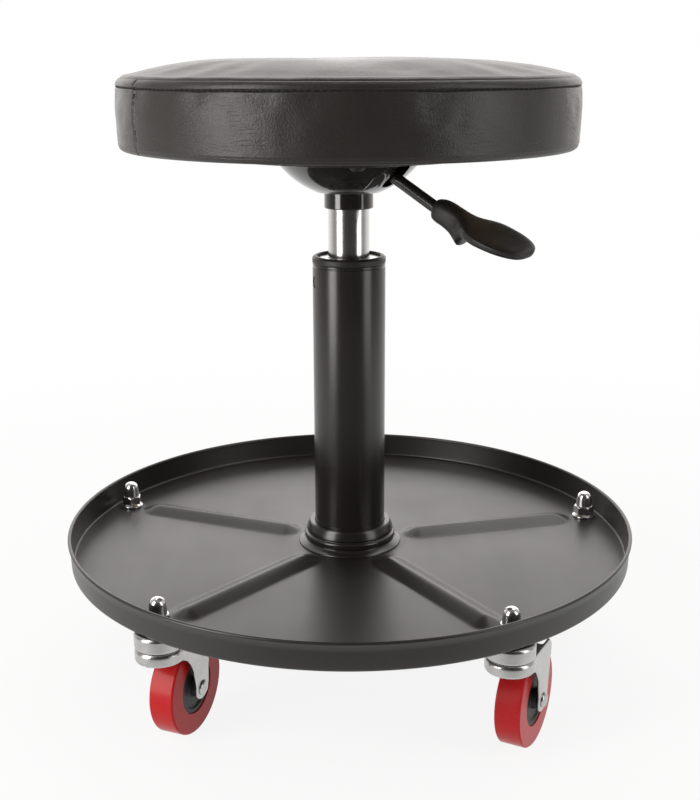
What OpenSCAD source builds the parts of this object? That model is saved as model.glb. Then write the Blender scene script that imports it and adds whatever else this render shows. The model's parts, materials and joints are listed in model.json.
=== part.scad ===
// Rolling creeper seat: a round padded seat on a gas lift that stands in a five-wheeled tool tray.
// The origin is on the floor, on the post's axis. +Z is up, and the handle points to +X and -Y.

/* [Seat cushion] */
// Height of the seat's crown above the floor as the lift stands here
seat_h = 422.5; // [402:1:442]
// Diameter of the seat at its widest
seat_d = 305; // [270:1:340]
// Height of the side band, from the seat's lower edge to its stitched seam
band_h = 40; // [30:1:50]
// How far the band draws in towards its lower edge
band_draw = 1; // [0.5:0.1:4]
// How far the band bulges between its edges
band_bulge = 1.2; // [0.3:0.1:3]
// Depth of the groove at the stitched seam
seam_groove = 1.4; // [0.8:0.1:2.5]
// Height of the rounded shoulder above the seam
shoulder_h = 7; // [3:0.5:9]
// Width of the rounded shoulder
shoulder_w = 7; // [4:0.5:12]
// Rise of the crown above the shoulder
crown_h = 9; // [6:0.5:16]
// Radius of the cushion's lower corner
seat_corner = 4; // [2:0.5:7]
// Gap between the spacer disc and the hem that turns under the board
hem_gap = 28; // [2:1:36]
// Thickness of the vinyl
vinyl_t = 1.2; // [0.8:0.1:2]
// Direction of the band's upright seam, in degrees
band_seam_az = 206; // [0:1:359]
// Thickness of the plywood board
board_t = 12; // [9:0.5:15]
// Width of the foam that wraps the board's edge
foam_wrap = 5; // [2:0.5:9]
// Diameter of the spacer disc under the board
spacer_d = 178; // [160:1:222]
// Height of the spacer disc's underside below the seat's lower edge
spacer_drop = 6; // [4:0.5:7]

/* [Seat mount] */
// Radius of the pressed bowl's outside
bowl_r = 71.9; // [69:0.1:75]
// Height of the bowl, from its flat bottom to its flange
bowl_h = 23.5; // [21:0.5:24]
// Radius of the bowl's flat bottom
bowl_flat_r = 22; // [21:0.5:23]
// Thickness of the bowl's sheet
bowl_t = 2; // [1.5:0.1:2.5]
// Width of the bowl's flange
flange_w = 12.7; // [12:0.1:18]
// Outside diameter of the taper socket
socket_d = 33.3; // [32:0.1:36]
// Drop of the taper socket below the bowl
socket_drop = 11; // [8:0.5:16]

/* [Lever] */
// Direction that the lever points, in degrees
lever_az = -40; // [-50:1:-30]
// Diameter of the lever's rod
rod_d = 8; // [6:0.5:8.5]
// Height of the rod's middle above the bowl's bottom, inside the bowl
rod_h = 16.5; // [16:0.1:17]
// Distance of the lever's pivot from the post's axis
pivot_r = 20; // [19.5:0.1:21]
// Distance from the post's axis to the bend in the rod
bend_r = 29; // [28:0.5:30]
// Slope of the rod outside the bowl, in degrees
rod_slope = 27; // [24:1:29]
// Distance from the post's axis to the handle's near end
handle_start_r = 73; // [68:1:80]
// Length of the handle
handle_l = 76; // [68:1:90]
// Slope of the handle, in degrees
handle_slope = 17; // [12:1:22]
// Width of the handle's paddle
paddle_w = 30; // [24:1:36]
// Thickness of the handle's paddle
paddle_t = 9; // [7:0.5:12]
// Width of the handle's sleeve
sleeve_w = 15; // [13:0.5:18]
// Travel of the release button
button_travel = 2.6; // [1.5:0.1:3]

/* [Gas lift] */
// Outside diameter of the outer tube
tube_d = 50; // [48:0.5:54]
// Wall of the outer tube
tube_wall = 1.5; // [1:0.1:2.5]
// Length of the column that shows between the tube's cap and the socket, as the lift stands here
column_out = 32; // [6:1:90]
// Outside diameter of the chrome column
column_d = 28; // [26:0.1:28.4]
// Wall of the chrome column
column_wall = 1.6; // [1:0.1:2.5]
// Room below the column before it meets the bump stop, as the lift stands here
column_room = 32.1; // [30.2:0.1:40]
// Diameter of the piston rod
piston_rod_d = 10; // [9:0.5:11]
// Height of the guide bush inside the tube
bush_h = 80; // [60:1:85]
// Diameter of the bush's locating peg in the tube's side
peg_d = 8; // [6:0.5:10]
// Distance of the peg below the tube's top
peg_drop = 12.4; // [8:0.1:20]
// Direction of the locating peg, in degrees
peg_az = 200; // [0:1:359]
// Height of the cap ring on the tube
cap_h = 5; // [3.5:0.1:5.5]

/* [Tray] */
// Outside diameter of the tray's rim
tray_d = 400; // [394:1:440]
// Height of the tray's wall, from the tray's underside to the rim
wall_h = 19.7; // [17:0.1:30]
// Thickness of the tray's sheet
sheet_t = 1.2; // [0.8:0.1:2]
// Outward lean of the tray's wall, from its foot to its rim
wall_lean = 0.5; // [0:0.1:4]
// Inner radius of the bend at the wall's foot
tray_bend = 2; // [1.5:0.1:6]
// Radius of the rolled bead on the rim
rim_bead_r = 1.1; // [0.9:0.1:1.6]
// Distance of the caster bolts from the rim's outside
bolt_inset = 16; // [15.6:0.1:22]
// Direction of the first caster bolt, in degrees
first_bolt_az = 14; // [0:1:72]
// Width of the pressed ribs
rib_w = 24; // [18:0.5:28]
// Height of the pressed ribs
rib_h = 4.4; // [3.5:0.1:5]
// Radius of the ribs' crest
rib_crest_r = 2.8; // [2.1:0.1:3]
// Distance of the ribs' outer ends from the caster bolts
rib_stop = 13; // [11:1:40]
// Distance from the axis to the ribs' inner ends
rib_in_r = 40; // [39:1:60]
// Radius of the bottom plate that carries the lift
base_plate_r = 45; // [40:1:60]
// Thickness of the bottom plate
base_plate_t = 3; // [2:0.1:4]

/* [Casters] */
// Number of casters
caster_count = 5; // [5:1:5]
// Diameter of the caster wheels
wheel_d = 63.5; // [60:0.5:64]
// Height of a caster, from the floor to the tray's underside
caster_h = 84.3; // [82:0.1:92]
// Distance from the swivel axis to the wheel's axle
trail = 28.9; // [26:0.1:31]
// Width of the tyre
tyre_w = 17; // [14:0.5:19]
// Width of the tyre's flat tread
tread_w = 13; // [10:0.5:14]
// Radius of the black wheel core
core_r = 18; // [15:0.5:22]
// Gap between the fork's legs
fork_gap = 22; // [21:0.1:24]
// Thickness of the fork's sheet
fork_t = 2; // [1.5:0.1:2.5]
// Radius of the swivel cup and of the fork's crown
crown_r = 15.6; // [15.4:0.1:16.5]
// Diameter of the axle rivets
axle_d = 6; // [5:0.5:8]
// Diameter of the caster bolts
bolt_d = 8; // [6:0.5:8.5]
// Directions in which the casters trail, in degrees
trail_azs = [196, 262, 318, 67.75, 62.5];

/* [Nuts] */
// Width across the flats of the acorn nuts
nut_af = 13; // [12:0.5:14]
// Height of an acorn nut above the tray
nut_h = 19.5; // [17:0.5:22]
// Radius of an acorn nut's flange
nut_flange_r = 8.5; // [8:0.1:9]

/* [Hidden] */
$fn = 96;

// Extra length that lets a cut pass its faces
cut = 1;
// Radial clearance of a running fit
run_fit = 0.05;
// Gap between faces that turn or slide past each other
gap = 0.3;
// Gap between curved faces of pieces that are fixed together
seat_fit = 0.05;
// Small chamfer on turned ends
edge = 0.5;

// Colours
black_paint = [0.15, 0.14, 0.13];
black_vinyl = [0.17, 0.15, 0.14];
black_plastic = [0.12, 0.12, 0.12];
zinc = [0.72, 0.73, 0.75];
bright_chrome = [0.85, 0.85, 0.87];
tyre_red = [0.85, 0.12, 0.12];
rubber_black = [0.08, 0.08, 0.08];
foam_cream = [0.86, 0.82, 0.66];
ply_brown = [0.66, 0.5, 0.32];
bare_steel = [0.55, 0.56, 0.58];
bush_grey = [0.19, 0.185, 0.18];

// Heights of the seat, from the crown down
seat_r = seat_d / 2;
cushion_h = band_h + shoulder_h + crown_h;
seat_low_z = seat_h - cushion_h;
board_low_z = seat_low_z + vinyl_t;
board_r = seat_r - band_draw - vinyl_t - foam_wrap;
spacer_low_z = seat_low_z - spacer_drop;
bowl_top_z = spacer_low_z;
bowl_low_z = bowl_top_z - bowl_h;
bowl_mid_z = bowl_low_z + sqrt(pow(bowl_r, 2) - pow(bowl_flat_r, 2));
bowl_top_r = sqrt(pow(bowl_r, 2) - pow(bowl_mid_z - bowl_top_z, 2));
flange_r = bowl_top_r + flange_w;
screw_place_share = 0.45;
screw_ring_r = bowl_top_r + screw_place_share * flange_w;
socket_low_z = bowl_low_z - socket_drop;
socket_r = socket_d / 2;

// The column's cone sits in the socket, and its top is below the rod
cone_draw = 0.8;
cone_top_z = bowl_low_z + 0.48 * rod_h;
cone_top_r = column_d / 2 - cone_draw;
cone_low_z = socket_low_z + column_wall;
column_head_t = 9;
button_r = rod_d * 0.36;
button_tip_r = 0.4 * button_r;
button_cone_h = 1.2;
button_top_z = bowl_low_z + rod_h - rod_d / 2 - gap;

// Heights of the tray and of the tube
tray_low_z = caster_h;
floor_z = tray_low_z + sheet_t;
rim_z = tray_low_z + wall_h;
tray_r = tray_d / 2;
bolt_ring_r = tray_r - bolt_inset;
rib_out_r = bolt_ring_r - rib_stop;
tube_top = socket_low_z - column_out - cap_h;
tube_r = tube_d / 2;
tube_in_r = tube_r - tube_wall;
column_r = column_d / 2;
bush_low_z = tube_top - bush_h;

// The thrust bearing on the bottom plate
base_plate_low_z = tray_low_z - base_plate_t;
rod_r = piston_rod_d / 2;
rod_neck_r = rod_r - 1;
race_r = 16;
race_t = 2;
ball_r = 2;
ball_ring_r = 11.5;
ball_count = 12;
cage_t = 1.2;
cage_in_gap = 3;
ball_mid_z = tray_low_z + race_t + gap + ball_r;
upper_race_z = ball_mid_z + ball_r + gap;
bump_low_z = upper_race_z + race_t;
bump_h = 7;
bump_r = 13;
column_low_z = bump_low_z + bump_h + column_room;
clip_r = 8;
clip_t = 1.4;
clip_groove = 0.8;
clip_top_z = base_plate_low_z - gap;
rod_end_z = clip_top_z - 3 * clip_t;

// The piston inside the column
piston_h = 9;
piston_up = 110;
piston_low_z = column_low_z + piston_up;
gland_h = 11;
column_in_r = column_r - column_wall;

// The casters
bolt_r = bolt_d / 2;
wheel_r = wheel_d / 2;
axle_z = wheel_r;
axle_r = axle_d / 2;
axle_head_r = 5;
axle_head_h = 2.2;
cup_h = 10.4;
cup_low_z = caster_h - cup_h;
cup_wall = 1.5;
crown_top_z = cup_low_z - gap;
crown_skirt_h = 8.6;
crown_low_z = crown_top_z - crown_skirt_h;
swivel_ball_r = 2;
swivel_ball_count = 12;
cup_in_r = crown_r - cup_wall;
swivel_ring_r = cup_in_r - gap - swivel_ball_r;
swivel_ball_z = crown_top_z + gap + swivel_ball_r;
swivel_race_z = swivel_ball_z + swivel_ball_r + gap;
crown_boss_r = swivel_ring_r - swivel_ball_r - gap;
crown_boss_top = swivel_race_z - gap;
bolt_head_r = 6.4;
bolt_head_h = 3.2;
bolt_past_hex = 2;
nut_bore_past_hex = 3;
bolt_head_top = crown_top_z - fork_t - gap;
leg_tip_r = 8;
core_w = fork_gap - 2 * gap;
core_barrel_r = 7;
core_rim_t = 2.5;
core_inset = 1;

// The base collar that covers the joint of tube and tray
collar_h = 16;
collar_foot_r = 37;
collar_bead_r = 32;
collar_neck_r = 30.6;
collar_lip_r = 29.4;
collar_edge = 2.2;
collar_step = 1;
collar_groove = 0.4;

// The cap, its washer and the washer's notches
cap_r = tube_r + 0.8;
cap_floor_t = 2;
cap_wall = 3.6;
cap_washer_t = 1.2;
cap_washer_clear = 0.5;
washer_notches = 20;
notch_w = 1.6;
notch_l = 1.3;

// Pads that the nuts and the collar stand on, and the nut's dome
pad_margin = 1;
pad_r = nut_flange_r + pad_margin;
pad_h = 0.4;
nut_flange_h = 2.6;
nut_hex_h = 6;
nut_dome_r = 5.9;
nut_dome_top_r = 5.1;

function bolt_az(i) = first_bolt_az + i * 360 / caster_count;
function arc(centre, r, from, to, steps) =
    [for (i = [0:steps]) let (a = from + (to - from) * i / steps) centre + r * [cos(a), sin(a)]];

// The band is widest a little below its seam
widest_share = min(1, 0.5 + band_draw / (8 * band_bulge));
band_edge_r = seat_r - 4 * band_bulge * widest_share * (1 - widest_share) + band_draw * (1 - widest_share);

// Outline of the cushion's band in radius and height, each point moved inwards by skin
function band_line(skin) =
    let (low_r = band_edge_r - band_draw, top_r = band_edge_r, steps = 12, start_h = seat_corner / band_h)
    concat(
        arc([low_r - seat_corner, seat_corner], seat_corner - skin, -90, 0, 6),
        [for (i = [1:steps]) let (s = start_h + (1 - start_h) * i / steps)
            [low_r + (top_r - low_r) * s + band_bulge * 4 * s * (1 - s) - skin
                - (i == steps ? seam_groove : 0), band_h * s]]
    );

// Share of the crown that stands above the cover at a share of its radius: round, and steeper near the edge
crown_round_share = 0.26;
function crown_share(s) = 1 - crown_round_share * pow(s, 2) - (1 - crown_round_share) * pow(s, 5);

// Outline of the top cover, from the seam over the shoulder to the crown
function top_line(skin) =
    let (steps = 14, in_r = band_edge_r - shoulder_w)
    concat(
        [[band_edge_r - seam_groove - skin, band_h]],
        [for (a = [10:16:90])
            [in_r + (shoulder_w - 0.3 * seam_groove) * cos(a) - skin * cos(a),
             band_h + shoulder_h * sin(a) - skin * sin(a)]],
        [for (i = [1:steps]) let (s = i / steps)
            [in_r * (1 - s), band_h + shoulder_h + crown_h * crown_share(1 - s) - skin]]
    );

function reversed(list) = [for (i = [len(list) - 1:-1:0]) list[i]];

module ring(r_out, r_in, low, high) {
    rotate_extrude()
        polygon([[r_in, low], [r_out, low], [r_out, high], [r_in, high]]);
}

module at_bolt(i) {
    rotate([0, 0, bolt_az(i)]) translate([bolt_ring_r, 0, 0]) children();
}

// The frame of one fork: its trail runs along +X from the swivel axis
module at_fork(i) {
    at_bolt(i) rotate([0, 0, trail_azs[i] - bolt_az(i)]) children();
}

module at_lever() {
    rotate([0, 0, lever_az]) translate([0, 0, bowl_low_z + rod_h]) children();
}

// A rib's cross-section is a low roof with a round crest. Its flanks slope down from the crest by rib_slope
rib_slope = atan2(rib_h - rib_crest_r, rib_w / 2) + asin(rib_crest_r / norm([rib_w / 2, rib_h - rib_crest_r]));

// Half of the cross-section, each point moved inwards by skin, down to a height
function rib_half(skin, low) =
    let (r = rib_crest_r - skin, mid_z = floor_z + rib_h - rib_crest_r, edge_z = mid_z + r * cos(rib_slope))
    concat([[0, low], [r * sin(rib_slope) + (edge_z - low) / tan(rib_slope), low]],
           arc([0, mid_z], r, 90 - rib_slope, 90, 5));

module rib(skin, low) {
    half = rib_half(skin, low);
    for (x = [rib_in_r + rib_w / 2, rib_out_r - rib_w / 2])
        translate([x, 0, 0]) rotate_extrude($fn = 96) polygon(half);
    translate([rib_in_r + rib_w / 2, 0, 0]) rotate([90, 0, 90])
        linear_extrude(rib_out_r - rib_in_r - rib_w)
            polygon(concat(half, [for (i = [len(half) - 2:-1:1]) [-half[i][0], half[i][1]]]));
}

module tray() {
    foot_r = tray_r - rim_bead_r - wall_lean;
    out_bend = tray_bend + sheet_t;
    outline = concat(
        [[tube_r + seat_fit, tray_low_z]],
        arc([foot_r - out_bend, tray_low_z + out_bend], out_bend, -90, 0, 6),
        [[tray_r - rim_bead_r, rim_z - rim_bead_r], [tray_r - rim_bead_r - sheet_t, rim_z - rim_bead_r]],
        reversed(arc([foot_r - out_bend, tray_low_z + out_bend], tray_bend, -90, 0, 6)),
        [[collar_foot_r + pad_margin, floor_z], [collar_foot_r + pad_margin, floor_z + pad_h],
         [tube_r + seat_fit, floor_z + pad_h]]
    );
    color(black_paint) difference() {
        union() {
            rotate_extrude($fn = 180) polygon(outline);
            rotate_extrude($fn = 180)
                translate([tray_r - rim_bead_r, rim_z - rim_bead_r]) circle(r = rim_bead_r, $fn = 24);
            for (i = [0:caster_count - 1]) {
                rotate([0, 0, bolt_az(i)]) rib(0, floor_z - sheet_t / 2);
                at_bolt(i) translate([0, 0, floor_z - sheet_t / 2])
                    cylinder(r = pad_r, h = pad_h + sheet_t / 2);
            }
        }
        for (i = [0:caster_count - 1]) {
            rotate([0, 0, bolt_az(i)]) rib(sheet_t, tray_low_z - cut);
            at_bolt(i) translate([0, 0, tray_low_z - cut])
                cylinder(r = bolt_r + run_fit, h = sheet_t + pad_h + 2 * cut);
        }
    }
}

module outer_tube() {
    color(black_paint) difference() {
        ring(tube_r, tube_in_r, tray_low_z, tube_top);
        rotate([0, 0, peg_az]) translate([0, 0, tube_top - peg_drop]) rotate([0, 90, 0])
            cylinder(r = peg_d / 2, h = tube_d);
    }
}

module base_plate() {
    color(black_paint) ring(base_plate_r, rod_neck_r + gap, base_plate_low_z, tray_low_z);
}

module base_collar() {
    low = floor_z + pad_h;
    top = low + collar_h;
    bead_mid = low + 0.35 * collar_h;
    roll_low = low + 0.56 * collar_h;
    roll_r = collar_bead_r - collar_step / 2;
    outline = concat(
        [[tube_r + seat_fit, low], [collar_foot_r, low], [collar_foot_r - collar_step, low + collar_step]],
        arc([collar_bead_r - collar_edge, bead_mid], collar_edge, -50, 60, 6),
        [[collar_neck_r, roll_low - collar_groove]],
        arc([roll_r - collar_edge / 2, roll_low + collar_edge / 2], collar_edge / 2, -70, 0, 4),
        arc([roll_r - collar_edge, top - collar_step - collar_edge], collar_edge, 0, 80, 5),
        [[collar_lip_r, top - collar_step], [collar_lip_r - collar_step / 2, top], [tube_r + seat_fit, top]]
    );
    color(black_paint) rotate_extrude() polygon(outline);
}

module tube_cap() {
    cap_top = tube_top + cap_h;
    round_r = cap_wall * 0.45;
    outline = concat(
        [[column_r + gap, tube_top], [cap_r, tube_top]],
        arc([cap_r - round_r, cap_top - round_r], round_r, 0, 90, 6),
        [[cap_r - cap_wall, cap_top], [cap_r - cap_wall, tube_top + cap_floor_t],
         [column_r + gap, tube_top + cap_floor_t]]
    );
    color(black_plastic) rotate_extrude() polygon(outline);
}

module cap_washer() {
    washer_r = cap_r - cap_wall - cap_washer_clear;
    low = tube_top + cap_floor_t;
    color(zinc) difference() {
        ring(washer_r, column_r + gap, low, low + cap_washer_t);
        for (i = [0:washer_notches - 1])
            rotate([0, 0, i * 360 / washer_notches])
                translate([washer_r - notch_l, -notch_w / 2, low - cut])
                    cube([notch_l + cut, notch_w, cap_washer_t + 2 * cut]);
    }
}

module guide_bush() {
    peg_root_r = column_r + tube_wall;
    color(bush_grey) union() {
        ring(tube_in_r - seat_fit, column_r + run_fit, bush_low_z, tube_top);
        intersection() {
            rotate([0, 0, peg_az]) translate([peg_root_r, 0, tube_top - peg_drop]) rotate([0, 90, 0])
                cylinder(r = peg_d / 2 - seat_fit, h = tube_d);
            ring(tube_r - tube_wall / 3, peg_root_r, bush_low_z, tube_top);
        }
    }
}

module lower_race() {
    color(bare_steel) ring(race_r, rod_neck_r + gap, tray_low_z, tray_low_z + race_t);
}

module bearing_cage() {
    color(zinc) difference() {
        ring(race_r - gap, rod_neck_r + cage_in_gap, ball_mid_z - cage_t / 2, ball_mid_z + cage_t / 2);
        for (i = [0:ball_count - 1])
            rotate([0, 0, i * 360 / ball_count]) translate([ball_ring_r, 0, ball_mid_z - cage_t])
                cylinder(r = ball_r + run_fit, h = 2 * cage_t, $fn = 32);
    }
}

module bearing_balls() {
    color(bare_steel) for (i = [0:ball_count - 1])
        rotate([0, 0, i * 360 / ball_count]) translate([ball_ring_r, 0, ball_mid_z]) sphere(r = ball_r, $fn = 32);
}

module caster_bolts() {
    head_low = bolt_head_top - bolt_head_h;
    top = floor_z + pad_h + nut_flange_h + nut_hex_h + bolt_past_hex;
    color(zinc) for (i = [0:caster_count - 1])
        at_bolt(i) rotate_extrude($fn = 48)
            polygon([[0, head_low], [bolt_head_r - 2 * edge, head_low], [bolt_head_r, head_low + 2 * edge],
                     [bolt_head_r, bolt_head_top], [bolt_r, bolt_head_top], [bolt_r, top], [0, top]]);
}

module acorn_nuts() {
    low = floor_z + pad_h;
    dome_low = low + nut_flange_h + nut_hex_h;
    dome_h = nut_h - nut_flange_h - nut_hex_h;
    bore_top = dome_low + nut_bore_past_hex;
    color(bright_chrome) for (i = [0:caster_count - 1]) at_bolt(i) difference() {
        union() {
            rotate_extrude($fn = 48)
                polygon([[0, low], [nut_flange_r, low], [nut_flange_r, low + 0.4 * nut_flange_h],
                         [0.8 * nut_flange_r, low + nut_flange_h], [0, low + nut_flange_h]]);
            translate([0, 0, low + nut_flange_h / 2])
                cylinder(r = nut_af / sqrt(3), h = nut_flange_h / 2 + nut_hex_h, $fn = 6);
            rotate_extrude($fn = 48)
                polygon(concat([[0, dome_low - nut_hex_h / 2], [nut_dome_r, dome_low - nut_hex_h / 2]],
                    [[nut_dome_r, dome_low]],
                    arc([nut_dome_top_r - dome_h / 3, low + nut_h - dome_h / 3], dome_h / 3, 0, 90, 6),
                    [[0, low + nut_h]]));
        }
        translate([0, 0, low - cut]) cylinder(r = bolt_r + seat_fit, h = bore_top - low + cut);
    }
}

module swivel_balls() {
    color(bare_steel) for (i = [0:caster_count - 1]) at_bolt(i)
        for (k = [0:swivel_ball_count - 1])
            rotate([0, 0, k * 360 / swivel_ball_count]) translate([swivel_ring_r, 0, swivel_ball_z])
                sphere(r = swivel_ball_r, $fn = 32);
}

module piston_rod() {
    color(bright_chrome) rotate_extrude()
        polygon([[0, rod_end_z], [rod_neck_r - edge, rod_end_z], [rod_neck_r, rod_end_z + edge],
                 [rod_neck_r, clip_top_z - clip_t], [rod_neck_r - clip_groove, clip_top_z - clip_t],
                 [rod_neck_r - clip_groove, clip_top_z], [rod_neck_r, clip_top_z],
                 [rod_neck_r, bump_low_z], [rod_r, bump_low_z], [rod_r, piston_low_z], [0, piston_low_z]]);
}

module piston() {
    groove = 0.8;
    color(bare_steel) rotate_extrude()
        polygon([[0, piston_low_z], [column_in_r - run_fit, piston_low_z],
                 [column_in_r - run_fit, piston_low_z + piston_h / 3],
                 [column_in_r - groove, piston_low_z + piston_h / 3],
                 [column_in_r - groove, piston_low_z + piston_h * 2 / 3],
                 [column_in_r - run_fit, piston_low_z + piston_h * 2 / 3],
                 [column_in_r - run_fit, piston_low_z + piston_h], [0, piston_low_z + piston_h]]);
}

module upper_race() {
    color(bare_steel) ring(race_r, rod_neck_r + seat_fit, upper_race_z, upper_race_z + race_t);
}

module bump_stop() {
    color(rubber_black) ring(bump_r, rod_r + seat_fit, bump_low_z, bump_low_z + bump_h);
}

module rod_clip() {
    color(bare_steel) difference() {
        ring(clip_r, rod_neck_r - clip_groove + seat_fit, clip_top_z - clip_t, clip_top_z);
        translate([0, -rod_neck_r / 2, clip_top_z - clip_t - cut]) cube([clip_r + cut, rod_neck_r, clip_t + 2 * cut]);
    }
}

module gas_column() {
    bore_top = cone_top_z - column_head_t;
    color(bright_chrome) rotate_extrude()
        polygon([[column_in_r, column_low_z], [column_r - edge, column_low_z], [column_r, column_low_z + edge],
                 [column_r, cone_low_z], [cone_top_r, cone_top_z],
                 [button_r + run_fit, cone_top_z], [button_r + run_fit, bore_top], [column_in_r, bore_top]]);
}

module column_gland() {
    low = column_low_z + column_wall / 2;
    color(rubber_black) ring(column_in_r - seat_fit, rod_r + run_fit, low, low + gland_h);
}

module taper_socket() {
    // The bore follows the column's cone with a small clearance
    color(black_paint) rotate_extrude()
        polygon([[column_r + seat_fit, socket_low_z], [socket_r - edge, socket_low_z],
                 [socket_r, socket_low_z + edge], [socket_r, cone_top_z],
                 [cone_top_r + seat_fit, cone_top_z], [column_r + seat_fit, cone_low_z]]);
}

module bowl_shell(r) {
    translate([0, 0, bowl_mid_z]) sphere(r = r, $fn = 180);
}

mouth_gap = 3;

module lever_slot() {
    // The mouth in the bowl's side lets the rod out and gives it room to rise
    mouth_w = rod_d + 2 * mouth_gap;
    foot = 2 * bowl_t;
    at_lever() translate([bend_r, -mouth_w / 2, foot - rod_h])
        cube([bowl_r, mouth_w, rod_h - foot]);
}

module seat_bowl() {
    color(black_paint) difference() {
        union() {
            intersection() {
                bowl_shell(bowl_r);
                translate([0, 0, bowl_low_z]) cylinder(r = bowl_r, h = bowl_h);
            }
            translate([0, 0, bowl_top_z - bowl_t]) cylinder(r = flange_r, h = bowl_t, $fn = 180);
        }
        intersection() {
            bowl_shell(bowl_r - bowl_t);
            translate([0, 0, bowl_low_z + bowl_t]) cylinder(r = bowl_r, h = bowl_h);
        }
        translate([0, 0, bowl_low_z - cut]) cylinder(r = socket_r + seat_fit, h = bowl_t + 2 * cut);
        lever_slot();
        at_screws() translate([0, 0, bowl_top_z - bowl_t - cut])
            cylinder(r = screw_r + gap, h = bowl_t + 2 * cut, $fn = 32);
    }
}

// The bracket's ears stand on both sides of the rod
ear_t = 2;
ear_l = 9;
ear_out = rod_d / 2 + gap + ear_t;
pin_r = 2;

// The ears stand on the bowl's flat bottom, and clear its round side
module lever_bracket() {
    color(zinc) intersection() {
        at_lever() difference() {
            for (side = [-1, 1])
                translate([pivot_r - 0.4 * ear_l, side * (ear_out - ear_t / 2) - ear_t / 2, bowl_t - rod_h])
                    cube([ear_l, ear_t, rod_h - bowl_t + pin_r * 1.7]);
            translate([pivot_r, 0, 0]) rotate([90, 0, 0])
                cylinder(r = pin_r + seat_fit, h = 2 * ear_out + cut, center = true);
        }
        bowl_shell(bowl_r - bowl_t - gap);
    }
}

module lever_pivot_pin() {
    color(zinc) at_lever() translate([pivot_r, 0, 0]) rotate([90, 0, 0]) union() {
        cylinder(r = pin_r, h = 2 * ear_out + pin_r, center = true);
        translate([0, 0, ear_out + gap]) cylinder(r = 1.5 * pin_r, h = 0.6 * pin_r);
    }
}

screw_r = 2.5;
screw_head_r = 5;
screw_head_h = 2.8;
screw_into_board = 9;
screw_count = 4;
screw_first_az = lever_az + 45;

module at_screws() {
    for (i = [0:screw_count - 1])
        rotate([0, 0, screw_first_az + i * 360 / screw_count]) translate([screw_ring_r, 0, 0]) children();
}

module bowl_screws() {
    head_top = bowl_top_z - bowl_t;
    tip = board_low_z + screw_into_board;
    color(zinc) at_screws() rotate_extrude($fn = 32)
        polygon([[0, head_top - screw_head_h], [0.6 * screw_head_r, head_top - screw_head_h],
                 [screw_head_r, head_top - 0.4 * screw_head_h], [screw_head_r, head_top],
                 [screw_r, head_top], [screw_r, tip - screw_r], [0, tip]]);
}

module screw_holes(low, high) {
    at_screws() translate([0, 0, low]) cylinder(r = screw_r + seat_fit, h = high - low, $fn = 32);
}

spacer_hole_gap = 4;

module spacer_disc() {
    color(black_paint) difference() {
        ring(spacer_d / 2, socket_r + spacer_hole_gap, spacer_low_z, board_low_z);
        screw_holes(spacer_low_z - cut, board_low_z + cut);
    }
}

module seat_board() {
    color(ply_brown) difference() {
        translate([0, 0, board_low_z]) cylinder(r = board_r, h = board_t, $fn = 180);
        screw_holes(board_low_z - cut, board_low_z + screw_into_board + gap);
    }
}

module seat_foam() {
    inner = vinyl_t + 2 * seat_fit;
    outline = concat(
        [[0, vinyl_t + board_t], [board_r + seat_fit, vinyl_t + board_t], [board_r + seat_fit, inner]],
        band_line(inner), top_line(inner));
    color(foam_cream) translate([0, 0, seat_low_z]) rotate_extrude($fn = 180) polygon(outline);
}

module seat_top_cover() {
    outline = concat(top_line(0), reversed(top_line(vinyl_t)));
    color(black_vinyl) translate([0, 0, seat_low_z]) rotate_extrude($fn = 180) polygon(outline);
}

module seat_side_band() {
    hem_r = spacer_d / 2 + hem_gap;
    groove_w = 1.2;
    outline = concat([[hem_r, 0]], band_line(0), reversed(band_line(vinyl_t)), [[hem_r, vinyl_t]]);
    color(black_vinyl) difference() {
        translate([0, 0, seat_low_z]) rotate_extrude($fn = 180) polygon(outline);
        rotate([0, 0, band_seam_az]) translate([band_edge_r - 0.4 * vinyl_t, -groove_w / 2, seat_low_z - cut])
            cube([seat_r, groove_w, band_h + 2 * cut]);
    }
}

// The rod is straight inside the bowl, bends down outside it and bends again inside the handle
rod_tail = 5;
rod_grip = 20;
// The rod swells by this much at its bends
bend_swell = 0.12;
handle_drop = (handle_start_r - bend_r) * tan(rod_slope);

module rod_run(slope, length) {
    rotate([0, 90 + slope, 0]) cylinder(r = rod_d / 2, h = length, $fn = 48);
}

module lever_rod() {
    handle_start = [handle_start_r, 0, -handle_drop];
    color(black_paint) at_lever() difference() {
        union() {
            translate([-rod_tail, 0, 0]) rod_run(0, bend_r + rod_tail);
            translate([bend_r, 0, 0]) sphere(r = rod_d / 2 + bend_swell, $fn = 48);
            translate([bend_r, 0, 0]) rod_run(rod_slope, (handle_start_r - bend_r) / cos(rod_slope));
            translate(handle_start) sphere(r = rod_d / 2 + bend_swell, $fn = 48);
            translate(handle_start) rod_run(handle_slope, rod_grip);
        }
        translate([pivot_r, 0, 0]) rotate([90, 0, 0])
            cylinder(r = pin_r + run_fit, h = 2 * rod_d, center = true, $fn = 48);
    }
}

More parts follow.
